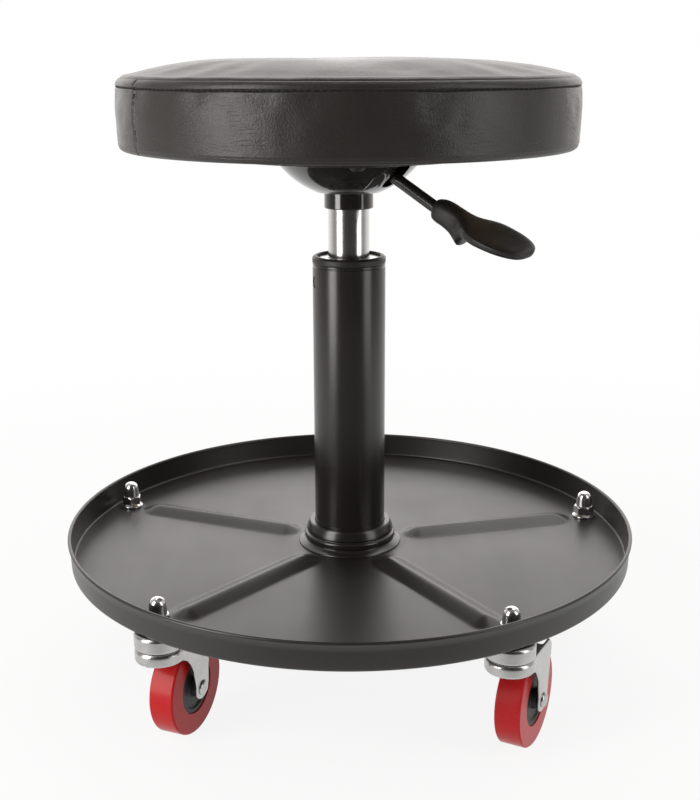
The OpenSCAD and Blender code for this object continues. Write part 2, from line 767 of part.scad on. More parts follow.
// Sections of the handle: the place as a share of its length, the width as shares of the sleeve's and
// of the paddle's width, and the heights above and below the rod as shares of the paddle's thickness
handle_shares = [
    [0.00, 0.72, 0.00, 0.62, 0.62], [0.02, 0.90, 0.00, 0.74, 0.78], [0.06, 1.00, 0.00, 0.82, 0.88],
    [0.14, 1.02, 0.00, 0.82, 1.00], [0.22, 1.04, 0.00, 0.78, 1.20], [0.29, 1.02, 0.03, 0.72, 1.50],
    [0.33, 0.95, 0.09, 0.68, 1.62], [0.355, 0.85, 0.17, 0.65, 1.20], [0.39, 0.70, 0.30, 0.60, 0.92],
    [0.47, 0.40, 0.58, 0.52, 0.86], [0.57, 0.14, 0.85, 0.44, 0.92], [0.68, 0.00, 0.99, 0.38, 0.95],
    [0.78, 0.00, 1.00, 0.34, 0.94], [0.87, 0.00, 0.94, 0.30, 0.88], [0.935, 0.00, 0.79, 0.26, 0.78],
    [0.975, 0.00, 0.58, 0.18, 0.64], [1.00, 0.00, 0.30, 0.04, 0.44]
];
handle_sides = 20;

function signed_pow(x, p) = sign(x) * pow(abs(x), p);
function handle_ring(row) =
    let (w = row[1] * sleeve_w + row[2] * paddle_w, x = row[0] * handle_l)
    [for (k = [0:handle_sides - 1]) let (a = 360 * k / handle_sides, side = signed_pow(sin(a), 0.75))
        [x, w / 2 * signed_pow(cos(a), 0.75), paddle_t * side * (side > 0 ? row[3] : row[4])]];

module lever_handle() {
    rings = len(handle_shares);
    points = [for (row = handle_shares) each handle_ring(row)];
    sides = [for (j = [0:rings - 2]) for (k = [0:handle_sides - 1])
        let (a = j * handle_sides + k, b = j * handle_sides + (k + 1) % handle_sides)
        each [[a, a + handle_sides, b], [b, a + handle_sides, b + handle_sides]]];
    first_cap = [[for (k = [0:handle_sides - 1]) k]];
    last_cap = [[for (k = [handle_sides - 1:-1:0]) (rings - 1) * handle_sides + k]];
    color(black_plastic) at_lever()
        translate([handle_start_r, 0, -handle_drop]) rotate([0, handle_slope, 0]) difference() {
            polyhedron(points = points, faces = concat(sides, first_cap, last_cap));
            translate([-cut, 0, 0]) rotate([0, 90, 0])
                cylinder(r = rod_d / 2 + gap / 2, h = cut + rod_grip + gap, $fn = 48);
        }
}

// The button's tip is narrow, so that the tilted rod presses its middle
module release_button() {
    low = cone_top_z - column_head_t + button_travel + gap;
    color(zinc) rotate_extrude($fn = 48)
        polygon([[0, low], [button_r, low], [button_r, button_top_z - button_cone_h],
                 [button_tip_r, button_top_z], [0, button_top_z]]);
}

module caster_cup(i) {
    top = caster_h;
    corner = 2;
    color(zinc) at_bolt(i) rotate_extrude($fn = 72)
        polygon(concat(
            [[bolt_r + seat_fit, swivel_race_z], [cup_in_r, swivel_race_z], [cup_in_r, cup_low_z],
             [crown_r, cup_low_z]],
            arc([crown_r - corner, top - corner], corner, 0, 90, 6),
            [[bolt_r + seat_fit, top]]));
}

// The leg's front edge is a hollow arc, and its tip is round about the axle
function leg_arc_mid(p, q, r) =
    let (m = (p + q) / 2, d = norm(q - p) / 2, n = [q[1] - p[1], p[0] - q[0]] / norm(q - p))
    m + n * sqrt(pow(r, 2) - pow(d, 2));

module fork_leg() {
    rear = trail + leg_tip_r;
    brow = 1.7 * fork_t;
    front_r = 1.4 * wheel_r;
    from = [0.15 * trail, crown_low_z];
    to = [trail - 0.9 * leg_tip_r, axle_z - 0.4 * leg_tip_r];
    mid = leg_arc_mid(from, to, front_r);
    rotate([90, 0, 0]) linear_extrude(height = fork_t) difference() {
        union() {
            polygon([[-0.2 * crown_r, crown_top_z], [rear - brow, crown_top_z], [rear, crown_top_z - brow],
                     [rear, axle_z], to, [to[0], to[1] + leg_tip_r / 2], from, [-0.2 * crown_r, crown_low_z]]);
            translate([trail, axle_z]) circle(r = leg_tip_r, $fn = 64);
        }
        translate(mid) circle(r = front_r, $fn = 96);
        translate([trail, axle_z]) circle(r = axle_r + seat_fit, $fn = 48);
    }
}

module caster_fork(i) {
    crown_mid_t = fork_t;
    color(zinc) at_fork(i) difference() {
        union() {
            ring(crown_r, crown_r - fork_t, crown_low_z, crown_top_z);
            ring(crown_r, bolt_r + gap, crown_top_z - crown_mid_t, crown_top_z);
            ring(crown_boss_r, bolt_r + gap, crown_top_z - crown_mid_t, crown_boss_top);
            for (side = [-1, 1])
                translate([0, side * (fork_gap + fork_t) / 2 + fork_t / 2, 0]) fork_leg();
            translate([0, -fork_gap / 2 - fork_t, crown_top_z - fork_t])
                cube([trail - leg_tip_r / 2, fork_gap + 2 * fork_t, fork_t]);
        }
        translate([0, 0, crown_low_z - cut]) cylinder(r = bolt_r + gap, h = cup_h + crown_skirt_h, $fn = 48);
        // The wheel turns between the legs, in a gap cut through the crown's rear skirt
        translate([0, -fork_gap / 2, crown_low_z - cut])
            cube([trail + leg_tip_r + cut, fork_gap, crown_skirt_h + cut - fork_t]);
    }
}

module caster_axle(i) {
    half = fork_gap / 2 + fork_t;
    color(zinc) at_fork(i) translate([trail, 0, axle_z]) rotate([90, 0, 0]) rotate_extrude($fn = 48)
        polygon(concat(
            [[0, -half - axle_head_h], [0.5 * axle_head_r, -half - axle_head_h],
             [0.85 * axle_head_r, -half - 0.7 * axle_head_h], [axle_head_r, -half - 0.2 * axle_head_h],
             [axle_head_r, -half], [axle_r, -half]],
            [[axle_r, half], [axle_head_r, half], [axle_head_r, half + 0.2 * axle_head_h],
             [0.85 * axle_head_r, half + 0.7 * axle_head_h], [0.5 * axle_head_r, half + axle_head_h],
             [0, half + axle_head_h]]));
}

module caster_core(i) {
    rim_w = tyre_w - 2 * core_inset;
    color(black_plastic) at_fork(i) translate([trail, 0, axle_z]) rotate([90, 0, 0]) rotate_extrude($fn = 72)
        polygon([[axle_r + run_fit, -core_w / 2], [core_barrel_r, -core_w / 2],
                 [core_barrel_r + core_inset, -rim_w / 2 + core_rim_t], [core_r - core_rim_t, -rim_w / 2 + core_rim_t],
                 [core_r - core_rim_t, -rim_w / 2], [core_r, -rim_w / 2], [core_r, rim_w / 2],
                 [core_r - core_rim_t, rim_w / 2], [core_r - core_rim_t, rim_w / 2 - core_rim_t],
                 [core_barrel_r + core_inset, rim_w / 2 - core_rim_t],
                 [core_barrel_r, core_w / 2], [axle_r + run_fit, core_w / 2]]);
}

module caster_tyre(i) {
    shoulder = 2.4;
    round_w = 0.4;
    color(tyre_red) at_fork(i) translate([trail, 0, axle_z]) rotate([90, 0, 0]) rotate_extrude($fn = 120)
        polygon([[core_r + seat_fit, -tyre_w / 2], [wheel_r - shoulder - 2 * round_w, -tyre_w / 2],
                 [wheel_r - shoulder, -tyre_w / 2 + round_w], [wheel_r - round_w, -(tread_w + round_w) / 2],
                 [wheel_r, round_w - tread_w / 2], [wheel_r, tread_w / 2 - round_w],
                 [wheel_r - round_w, (tread_w + round_w) / 2], [wheel_r - shoulder, tyre_w / 2 - round_w],
                 [wheel_r - shoulder - 2 * round_w, tyre_w / 2], [core_r + seat_fit, tyre_w / 2]]);
}

tray();
outer_tube();
base_plate();
base_collar();
tube_cap();
cap_washer();
guide_bush();
lower_race();
bearing_cage();
bearing_balls();
caster_bolts();
acorn_nuts();
swivel_balls();
piston_rod();
piston();
upper_race();
bump_stop();
rod_clip();
gas_column();
column_gland();
taper_socket();
seat_bowl();
lever_bracket();
lever_pivot_pin();
spacer_disc();
seat_board();
seat_foam();
seat_top_cover();
seat_side_band();
bowl_screws();
lever_rod();
lever_handle();
release_button();
caster_cup(0);  // caster_1_cup
caster_cup(1);  // caster_2_cup
caster_cup(2);  // caster_3_cup
caster_cup(3);  // caster_4_cup
caster_cup(4);  // caster_5_cup
caster_fork(0);  // caster_1_fork
caster_fork(1);  // caster_2_fork
caster_fork(2);  // caster_3_fork
caster_fork(3);  // caster_4_fork
caster_fork(4);  // caster_5_fork
caster_axle(0);  // caster_1_axle
caster_axle(1);  // caster_2_axle
caster_axle(2);  // caster_3_axle
caster_axle(3);  // caster_4_axle
caster_axle(4);  // caster_5_axle
caster_core(0);  // caster_1_core
caster_core(1);  // caster_2_core
caster_core(2);  // caster_3_core
caster_core(3);  // caster_4_core
caster_core(4);  // caster_5_core
caster_tyre(0);  // caster_1_tyre
caster_tyre(1);  // caster_2_tyre
caster_tyre(2);  // caster_3_tyre
caster_tyre(3);  // caster_4_tyre
caster_tyre(4);  // caster_5_tyre
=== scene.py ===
"""The creeper seat's looks: a padded seat on a gas lift, in a round tool tray on five casters.

Shapes are worked out in millimetres from the frame's boxes and go into the meshes in metres."""
import bpy
import bmesh
import json
from math import atan2, copysign, cos, exp, hypot, pi, radians, sin, sqrt, tan
from mathutils import Matrix, Vector, kdtree, noise


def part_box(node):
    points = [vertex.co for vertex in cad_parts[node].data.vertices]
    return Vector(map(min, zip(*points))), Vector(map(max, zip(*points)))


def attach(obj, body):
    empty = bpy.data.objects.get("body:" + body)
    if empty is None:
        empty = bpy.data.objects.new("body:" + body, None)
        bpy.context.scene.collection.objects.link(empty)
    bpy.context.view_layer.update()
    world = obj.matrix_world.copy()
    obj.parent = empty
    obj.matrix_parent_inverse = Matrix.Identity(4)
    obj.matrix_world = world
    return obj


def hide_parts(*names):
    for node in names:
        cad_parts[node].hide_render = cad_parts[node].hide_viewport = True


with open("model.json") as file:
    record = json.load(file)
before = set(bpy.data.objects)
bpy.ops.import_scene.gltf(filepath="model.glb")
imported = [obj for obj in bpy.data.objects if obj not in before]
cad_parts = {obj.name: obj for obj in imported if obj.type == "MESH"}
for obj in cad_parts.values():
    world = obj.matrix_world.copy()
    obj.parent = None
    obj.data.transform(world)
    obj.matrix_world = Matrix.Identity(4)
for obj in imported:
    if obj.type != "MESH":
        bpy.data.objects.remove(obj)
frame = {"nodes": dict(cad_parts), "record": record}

MM = 0.001
FULL_TURN = 2 * pi
CASTERS = range(1, 6)
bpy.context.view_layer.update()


# Measures read from the frame
def box(node):
    """A node's lowest and highest corners in millimetres."""
    low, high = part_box(node)
    return low / MM, high / MM


def middle(node):
    low, high = box(node)
    return (low + high) / 2


def outer_radius(node):
    low, high = box(node)
    return (high.x - low.x) / 2


# Outlines
def rounded(points, radii, steps=5, closed=True):
    """The points with an arc at each corner that has a radius. Works in a plane and in space."""
    last = len(points) - 1
    most = 0.49
    out = []
    for i, point in enumerate(points):
        here, radius = Vector(point), radii[i]
        if radius == 0 or (not closed and i in (0, last)):
            out.append(here)
            continue
        before = Vector(points[i - 1]) - here
        after = Vector(points[(i + 1) % len(points)]) - here
        half = before.angle(after) / 2
        reach = min(radius / tan(half), most * before.length, most * after.length)
        radius = reach * tan(half)
        before.normalize()
        after.normalize()
        centre = here + (before + after).normalized() * radius / sin(half)
        start, end = here + before * reach - centre, here + after * reach - centre
        for k in range(steps + 1):
            out.append(centre + start.lerp(end, k / steps).normalized() * radius)
    return out


def arc(centre, radius, start, end, steps):
    """Points on a circle in a plane, from one angle to another in degrees."""
    angles = [radians(start + (end - start) * k / steps) for k in range(steps + 1)]
    return [Vector(centre) + radius * Vector((cos(a), sin(a))) for a in angles]


def mirrored(points):
    """The upper half of an outline with its mirror image after it."""
    return points + [(r, -z) for r, z in reversed(points)]


def polar(radius, angle, z=0.0):
    """The point at a radius, an azimuth and a height."""
    return Vector((radius * cos(angle), radius * sin(angle), z))


def even_angles(count):
    return [FULL_TURN * k / count for k in range(count)]


def angle_past(start, angle):
    """How far an angle lies past start, from minus half a turn to half a turn."""
    return (angle - start + pi) % FULL_TURN - pi


def spaced(start, end, step):
    """Evenly spaced values from start to end, about one step apart."""
    count = max(1, round(abs(end - start) / step))
    return [start + (end - start) * k / count for k in range(count + 1)]


def smoothstep(x):
    x = min(1.0, max(0.0, x))
    return x * x * (3 - 2 * x)


# Meshes
def revolve(outline, count=128, closed=True, azimuths=None, warp=None):
    """Turns an outline of radius and height about the z axis. warp moves each point by its azimuth."""
    angles = azimuths or even_angles(count)
    total = len(angles)
    verts, faces, rows = [], [], []
    for radius, height in outline:
        start = len(verts)
        if radius < 1e-6:
            verts.append((0.0, 0.0, height))
            rows.append([start] * total)
            continue
        rows.append(list(range(start, start + total)))
        for angle in angles:
            r, z = warp(radius, height, angle) if warp else (radius, height)
            verts.append((r * cos(angle), r * sin(angle), z))
    for low, high in zip(rows, rows[1:] + rows[:1] if closed else rows[1:]):
        for k in range(total):
            after = (k + 1) % total
            corners = list(dict.fromkeys([low[k], low[after], high[after], high[k]]))
            if len(corners) > 2:
                faces.append(corners)
    return verts, faces


def loft(rings):
    """Joins rings of points, all with as many points, into a skin with closed ends."""
    total = len(rings[0])
    verts = [tuple(p) for ring in rings for p in ring]
    faces = []
    for j in range(len(rings) - 1):
        for k in range(total):
            a, b = j * total + k, j * total + (k + 1) % total
            faces.append([a, b, b + total, a + total])
    faces.append(list(range(total))[::-1])
    faces.append(list(range((len(rings) - 1) * total, len(rings) * total)))
    return verts, faces


def prism(outline, low, high):
    """An outline in x and y, drawn up from low to high."""
    return loft([[(p[0], p[1], z) for p in outline] for z in (low, high)])


def block(low, high):
    """A plain block between two corners, for cutting and joining."""
    corners = ((low[0], low[1]), (high[0], low[1]), (high[0], high[1]), (low[0], high[1]))
    return prism(corners, low[2], high[2])


def sweep(path, radius, sides=32):
    """A round bar along a path. radius is a number or one for each point."""
    radii = radius if isinstance(radius, list) else [radius] * len(path)
    rings = []
    side = (path[1] - path[0]).orthogonal().normalized()
    for i, point in enumerate(path):
        ahead = (path[min(i + 1, len(path) - 1)] - path[max(i - 1, 0)]).normalized()
        side = (side - ahead * side.dot(ahead)).normalized()
        up = ahead.cross(side)
        rings.append([point + radii[i] * (side * cos(a) + up * sin(a)) for a in even_angles(sides)])
    return loft(rings)


def merged(shapes):
    """Several (verts, faces) as one."""
    verts, faces = [], []
    for some_verts, some_faces in shapes:
        start = len(verts)
        verts += some_verts
        faces += [[start + i for i in face] for face in some_faces]
    return verts, faces


def moved(shape, matrix):
    verts, faces = shape
    return [tuple(matrix @ Vector(v)) for v in verts], faces


def turned(axis, degrees):
    return Matrix.Rotation(radians(degrees), 4, axis)


def placed(name, data):
    """A new object in the scene."""
    thing = bpy.data.objects.new(name, data)
    bpy.context.scene.collection.objects.link(thing)
    return thing


def shade(mesh, flat_angle):
    """Smooth shading but for edges sharper than flat_angle in degrees."""
    mesh.shade_smooth()
    mesh.set_sharp_from_angle(angle=radians(flat_angle))


def new_object(name, shape, flat_angle=35):
    """An object in metres from a shape in millimetres."""
    verts, faces = shape
    mesh = bpy.data.meshes.new(name)
    mesh.from_pydata([(x * MM, y * MM, z * MM) for x, y, z in verts], [], faces)
    work = bmesh.new()
    work.from_mesh(mesh)
    bmesh.ops.recalc_face_normals(work, faces=work.faces)
    work.to_mesh(mesh)
    work.free()
    shade(mesh, flat_angle)
    return placed(name, mesh)


def modify(thing, kind, **settings):
    """Leaves the mesh as one modifier makes it."""
    modifier = thing.modifiers.new(kind.lower(), kind)
    for key, value in settings.items():
        setattr(modifier, key, value)
    graph = bpy.context.evaluated_depsgraph_get()
    mesh = bpy.data.meshes.new_from_object(thing.evaluated_get(graph))
    thing.modifiers.clear()
    thing.data = mesh


def boolean(thing, shape, operation="DIFFERENCE", flat_angle=40):
    """Cuts or adds a shape in millimetres."""
    tool = new_object(thing.name + "_tool", shape)
    modify(thing, "BOOLEAN", operation=operation, solver="EXACT", object=tool)
    bpy.data.objects.remove(tool)
    shade(thing.data, flat_angle)


def finish_piece(thing, body, slot, *nodes, material=None, even=True):
    """Gives a piece its material, the body that it rides on and the nodes that it stands for."""
    thing.data.materials.clear()
    thing.data.materials.append(material or LOOKS[slot])
    if even:
        modifier = thing.modifiers.new("even shading", "WEIGHTED_NORMAL")
        modifier.keep_sharp = True
    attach(thing, body)
    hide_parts(*nodes)


def lathe_piece(name, points, radii, body, slot, node, count=160):
    """A turned piece with rounded corners, in the place of one node."""
    finish_piece(new_object(name, revolve(rounded(points, radii), count)), body, slot, node)


# Nodes of materials, the floor and the world
class Tree:
    """A node tree under construction. An input gets a value or another node's output."""

    def __init__(self, owner):
        owner.use_nodes = True
        self.nodes = owner.node_tree.nodes
        self.links = owner.node_tree.links

    def put(self, socket, value):
        if isinstance(value, bpy.types.NodeSocket):
            self.links.new(value, socket)
        else:
            socket.default_value = value

    def fill(self, node, inputs):
        """Fills a node's inputs by their names."""
        for name, value in inputs.items():
            self.put(node.inputs[name.replace("_", " ")], value)

    def add(self, kind, settings=None, **inputs):
        """A new node, with some of its settings and inputs."""
        node = self.nodes.new("ShaderNode" + kind)
        for key, value in (settings or {}).items():
            setattr(node, key, value)
        self.fill(node, inputs)
        return node

    def in_order(self, node, *values):
        """Fills a node's inputs in their order and gives its first output."""
        for socket, value in zip(node.inputs, values):
            self.put(socket, value)
        return node.outputs[0]

    def maths(self, operation, *values):
        return self.in_order(self.add("Math", {"operation": operation}), *values)

    def place(self):
        """The object's own coordinates in metres."""
        return self.add("TexCoord").outputs["Object"]

    def split(self, vector):
        """The outputs X, Y and Z of a vector."""
        return self.add("SeparateXYZ", Vector=vector).outputs

    def mapped(self, value, low, high, out_low=0.0, out_high=1.0):
        """Straight from out_low at low to out_high at high, and even beyond them."""
        node = self.add("MapRange", Value=value, From_Min=low, From_Max=high, To_Min=out_low, To_Max=out_high)
        return node.outputs["Result"]


class Look(Tree):
    """A material under construction: its node tree and its shader."""

    def __init__(self, name, **sockets):
        self.material = bpy.data.materials.new(name)
        super().__init__(self.material)
        self.shader = self.nodes["Principled BSDF"]
        self.fill(self.shader, sockets)

    def position(self, scale=(1, 1, 1)):
        """The object's own coordinates, scaled."""
        return self.add("Mapping", Vector=self.place(), Scale=scale).outputs[0]

    def around(self, radius, scale):
        """Coordinates on a drum about the z axis, scaled: way round and height."""
        place = self.split(self.place())
        way = self.maths("MULTIPLY", self.maths("ARCTAN2", place["Y"], place["X"]), radius)
        drum = self.add("CombineXYZ", X=way, Y=place["Z"]).outputs[0]
        return self.add("Mapping", Vector=drum, Scale=scale).outputs[0]

    def noise(self, size_mm, place, detail=2.0, roughness=0.5):
        """Noise whose features are about size_mm wide."""
        inputs = {"Vector": place, "Scale": 1 / (size_mm * MM), "Detail": detail, "Roughness": roughness}
        return self.add("TexNoise", **inputs).outputs["Fac"]

    def cells(self, size_mm, place, feature="F1"):
        node = self.add("TexVoronoi", {"feature": feature}, Vector=place, Scale=1 / (size_mm * MM))
        return node.outputs["Distance"]

    def sum(self, first, second, share):
        """first plus share times second."""
        return self.maths("MULTIPLY_ADD", second, share, first)

    def tint(self, value, dark, light, low=0.3, high=0.7):
        """The base colour: dark where the value is low and light where it is high."""
        share = self.mapped(value, low, high)
        mix = self.add("Mix", {"data_type": "RGBA"}, A=(*dark, 1), B=(*light, 1), Factor=share)
        self.put(self.shader.inputs["Base Color"], mix.outputs["Result"])

    def rough(self, value, smooth, dull, low=0.3, high=0.7):
        """The roughness: smooth where the value is low and dull where it is high."""
        self.put(self.shader.inputs["Roughness"], self.mapped(value, low, high, smooth, dull))

    def bump(self, height, depth_mm, strength):
        node = self.add("Bump", Height=height, Distance=depth_mm * MM, Strength=strength)
        self.put(self.shader.inputs["Normal"], node.outputs["Normal"])


def powder_coat():
    """Satin black paint, baked on steel, with a fine orange peel."""
    m = Look("powder_coat", Specular_IOR_Level=0.62)
    place = m.position()
    peel = m.noise(0.9, place, 2.0, 0.55)
    broad = m.noise(46, place, 3.0)
    m.tint(broad, (0.0118, 0.0103, 0.0090), (0.0150, 0.0132, 0.0116))
    m.rough(m.sum(broad, peel, 0.5), 0.20, 0.27, 0.5, 1.0)
    m.bump(peel, 0.04, 0.3)
    return m.material


def tray_paint():
    """The tray's paint: the powder coat with faint rub marks from tools."""
    m = Look("tray_powder_coat", Specular_IOR_Level=0.6)
    place = m.position()
    peel = m.noise(1.0, place, 2.0, 0.55)
    broad = m.noise(60, place, 3.0)
    rubs = m.noise(14, m.position((1, 0.16, 1)), 4.0, 0.6)
    m.tint(broad, (0.0125, 0.0110, 0.0097), (0.0165, 0.0147, 0.0131))
    m.rough(m.sum(broad, rubs, 0.35), 0.32, 0.40, 0.4, 0.95)
    m.bump(peel, 0.05, 0.35)
    return m.material


def gloss_black():
    """Gloss black paint of the bowl and the socket."""
    m = Look("gloss_black_paint", Specular_IOR_Level=0.6, Coat_Weight=0.6, Coat_Roughness=0.05)
    place = m.position()
    peel = m.noise(1.6, place, 1.5)
    m.tint(m.noise(20, place), (0.010, 0.009, 0.0085), (0.016, 0.0145, 0.0135))
    m.rough(peel, 0.12, 0.18)
    m.bump(peel, 0.03, 0.25)
    return m.material


def chrome():
    """Bright chrome with the faint haze of fine polishing lines round the column."""
    m = Look("bright_chrome", Metallic=1.0)
    lines = m.noise(0.5, m.around(0.014, (0.02, 1, 1)), 2.0)
    m.tint(lines, (0.70, 0.695, 0.69), (0.77, 0.765, 0.76))
    m.rough(lines, 0.17, 0.23)
    m.bump(lines, 0.004, 0.5)
    return m.material


def zinc():
    """Zinc plate on pressed steel: bright, a little milky, with faint clouding."""
    m = Look("zinc_plate", Metallic=1.0)
    place = m.position()
    clouds = m.noise(7, place, 4.0, 0.6)
    grain = m.noise(0.5, place, 3.0, 0.6)
    m.tint(clouds, (0.44, 0.435, 0.425), (0.53, 0.525, 0.515))
    m.rough(m.sum(clouds, grain, 0.3), 0.22, 0.33, 0.45, 0.9)
    m.bump(grain, 0.003, 0.2)
    return m.material


def steel():
    """Ground bearing steel."""
    m = Look("bearing_steel", Metallic=1.0)
    grain = m.noise(0.6, m.position((1, 1, 5)), 3.0)
    m.tint(grain, (0.46, 0.46, 0.47), (0.56, 0.56, 0.57))
    m.rough(grain, 0.22, 0.34)
    return m.material


def moulded(name, dark, light, smooth):
    """Moulded plastic with a fine spark-eroded texture."""
    m = Look(name, Specular_IOR_Level=0.45)
    place = m.position()
    pits = m.noise(0.45, place, 3.0, 0.6)
    m.tint(m.noise(12, place), dark, light)
    m.rough(pits, smooth, smooth + 0.1)
    m.bump(pits, 0.06, 0.5)
    return m.material


def urethane():
    """The tyres' red urethane: waxy, a little translucent, with a fine moulded skin."""
    m = Look("red_polyurethane", Specular_IOR_Level=0.22, Subsurface_Weight=0.12, Subsurface_Scale=0.002,
             Subsurface_Radius=(1.0, 0.15, 0.1))
    place = m.position()
    skin = m.noise(0.8, place, 3.0, 0.55)
    scuffs = m.noise(5, place, 4.0, 0.65)
    m.tint(scuffs, (0.45, 0.010, 0.012), (0.48, 0.013, 0.015), low=0.35)
    m.rough(scuffs, 0.27, 0.33)
    m.bump(skin, 0.03, 0.4)
    return m.material


def vinyl():
    """Black upholstery vinyl: a pebble grain, soft clouding, and fine creases that run round the side."""
    m = Look("black_vinyl", Specular_IOR_Level=0.5, Sheen_Weight=0.12, Sheen_Roughness=0.4)
    place = m.position()
    pebbles = m.mapped(m.cells(1.0, place, "SMOOTH_F1"), 0.0, 0.8, 1.0, 0.0)
    folds = m.noise(1.9, m.around(0.15, (0.2, 1, 1)), 3.0, 0.55)
    valleys = m.mapped(folds, 0.36, 0.50, -1.0, 0.0)
    creased = m.mapped(m.noise(38, place, 2.0), 0.42, 0.62, 0.1, 1.0)
    seam, fade = box("seat_top_cover")[0].z * MM, 2 * MM
    on_side = m.mapped(m.split(m.place())["Z"], seam - fade, seam, 1.0, 0.0)
    for share in (creased, on_side):
        valleys = m.maths("MULTIPLY", valleys, share)
    broad = m.noise(50, place, 3.0)
    m.tint(broad, (0.0158, 0.0136, 0.0118), (0.0200, 0.0172, 0.0151))
    m.rough(m.sum(broad, pebbles, 0.4), 0.37, 0.46, 0.4, 1.1)
    grain = m.sum(pebbles, m.noise(0.35, place, 2.0), 0.3)
    m.bump(m.sum(grain, valleys, 1.2), 0.105, 0.9)
    return m.material


def thread():
    """Twisted black sewing thread."""
    m = Look("black_thread", Roughness=0.7)
    bands = {"wave_type": "BANDS", "bands_direction": "DIAGONAL"}
    twist_and_shade = m.add("TexWave", bands, Vector=m.position(), Scale=900).outputs["Fac"]
    # painted shade: the colour is darker in the grooves between the twists, where the bump is lowest
    m.tint(twist_and_shade, (0.006, 0.006, 0.006), (0.02, 0.019, 0.018), 0, 1)
    m.bump(twist_and_shade, 0.08, 0.6)
    return m.material


def foam():
    """Open-celled cushion foam."""
    m = Look("cushion_foam", Roughness=0.9, Specular_IOR_Level=0.2)
    pores_and_shade = m.cells(0.9, m.position())
    # painted shade: the colour is darker and deeper yellow in the pores' pits; the bump gives the pits
    # themselves
    m.tint(pores_and_shade, (0.72, 0.64, 0.40), (0.82, 0.76, 0.56), low=0.1)
    m.bump(pores_and_shade, 0.3, 0.6)
    return m.material


def plywood():
    """Birch plywood: a long face grain."""
    m = Look("plywood", Roughness=0.65, Specular_IOR_Level=0.3)
    grain = m.noise(3, m.position((1, 0.06, 0.4)), 5.0, 0.6)
    m.tint(grain, (0.34, 0.20, 0.095), (0.50, 0.33, 0.175))
    m.bump(grain, 0.08, 0.5)
    return m.material


def rubber():
    """Moulded black rubber."""
    m = Look("rubber", Specular_IOR_Level=0.35)
    bloom = m.noise(3, m.position(), 4.0)
    m.tint(bloom, (0.012, 0.012, 0.012), (0.022, 0.022, 0.022))
    m.rough(bloom, 0.6, 0.75)
    return m.material


def fibre_board():
    """The black spacer under the seat: painted fibre board."""
    m = Look("black_board", Specular_IOR_Level=0.35)
    fibres = m.noise(1.2, m.position((1, 0.3, 1)), 4.0, 0.6)
    m.tint(fibres, (0.012, 0.011, 0.010), (0.022, 0.020, 0.018))
    m.rough(fibres, 0.5, 0.65)
    m.bump(fibres, 0.08, 0.5)
    return m.material


# The material of each of the record's slots
LOOKS = {
    "black_powder_coat": powder_coat(),
    "gloss_black_paint": gloss_black(),
    "black_board": fibre_board(),
    "zinc_plate": zinc(),
    "bright_chrome": chrome(),
    "bearing_steel": steel(),
    "black_plastic": moulded("handle_plastic", (0.0112, 0.0106, 0.0098), (0.0160, 0.0151, 0.0139), 0.40),
    "core_plastic": moulded("core_plastic", (0.016, 0.0155, 0.014), (0.024, 0.0235, 0.022), 0.48),
    "bush_plastic": moulded("bush_plastic", (0.030, 0.029, 0.027), (0.042, 0.040, 0.038), 0.40),
    "rubber": rubber(),
    "red_polyurethane": urethane(),
    "black_vinyl": vinyl(),
    "foam": foam(),
    "plywood": plywood(),
}


def dress_frame():
    """Every CAD node gets its slot's material. What later replaces a node hides it."""
    for part in frame["record"]["subparts"]:
        slots = frame["nodes"][part["node"]].data.materials
        slots.clear()
        slots.append(LOOKS[part["material_slot"]])
    frame["nodes"]["bowl_screws"].data.materials[0] = LOOKS["black_board"]


dress_frame()

# The cushion
SEAT_LOW = box("seat_side_band")[0].z
SEAT_TOP = box("seat_top_cover")[1].z
SEAT_R = outer_radius("seat_side_band")
BAND_H = box("seat_top_cover")[0].z - SEAT_LOW
HEM_W = 30
BAND_STEP = 0.4
PANEL_STEP = 2.4
SEAT_CORNER = 3.6
BAND_DRAW = 1.0
BAND_BULGE = 1.1
STITCH_GROOVE = 1.1
STITCH_GROOVE_W = 0.6
SHOULDER_H = 4.9
SHOULDER_IN = 2.8
SHOULDER_POWER = 2.4
JOIN_Z = BAND_H + SHOULDER_H
JOIN_DEPTH = 0.5
JOIN_TUCK = 0.7
TOP_TUCK = 0.65
JOIN_ROLL = 4.4
JOIN_RISE = 2.3
CROWN_ROUND = 0.26
CROWN_POWER = 5.4
VINYL_T = 1.2
SEAM_AZ = radians(212.4)
SEAM_W = 0.9
SEAM_DEPTH = 0.9
SEAM_WANDER = 0.21
TOP_EDGE_R = SEAT_R - BAND_BULGE / 2 - SHOULDER_IN
FOAM_INSET = 3.4
THREAD_R = 0.3
STITCH_L = 3.1
STITCH_PITCH = 4.2
CLOTH_VOXEL = 5.0
CLOTH_CAP = 2.4
CLOTH_FRAMES = 20
CLOTH_RISE = 1.1
CLOTH_SETTINGS = {
    "quality": 5, "use_pressure": True, "uniform_pressure_force": 4, "tension_stiffness": 40,
    "compression_stiffness": 20, "bending_stiffness": 1.5, "vertex_group_mass": "held",
}
PUFF_SHARE = 0.2
PUFF_NEIGHBOURS = 6
# Along a stitch: share of its length, dip into the vinyl and thickness, the last two in thread radii
STITCH_SHARES = ((0, 1.4, 0.5), (0.1, 0.5, 0.9), (0.3, 0, 1), (0.7, 0, 1), (0.9, 0.5, 0.9), (1, 1.4, 0.5))


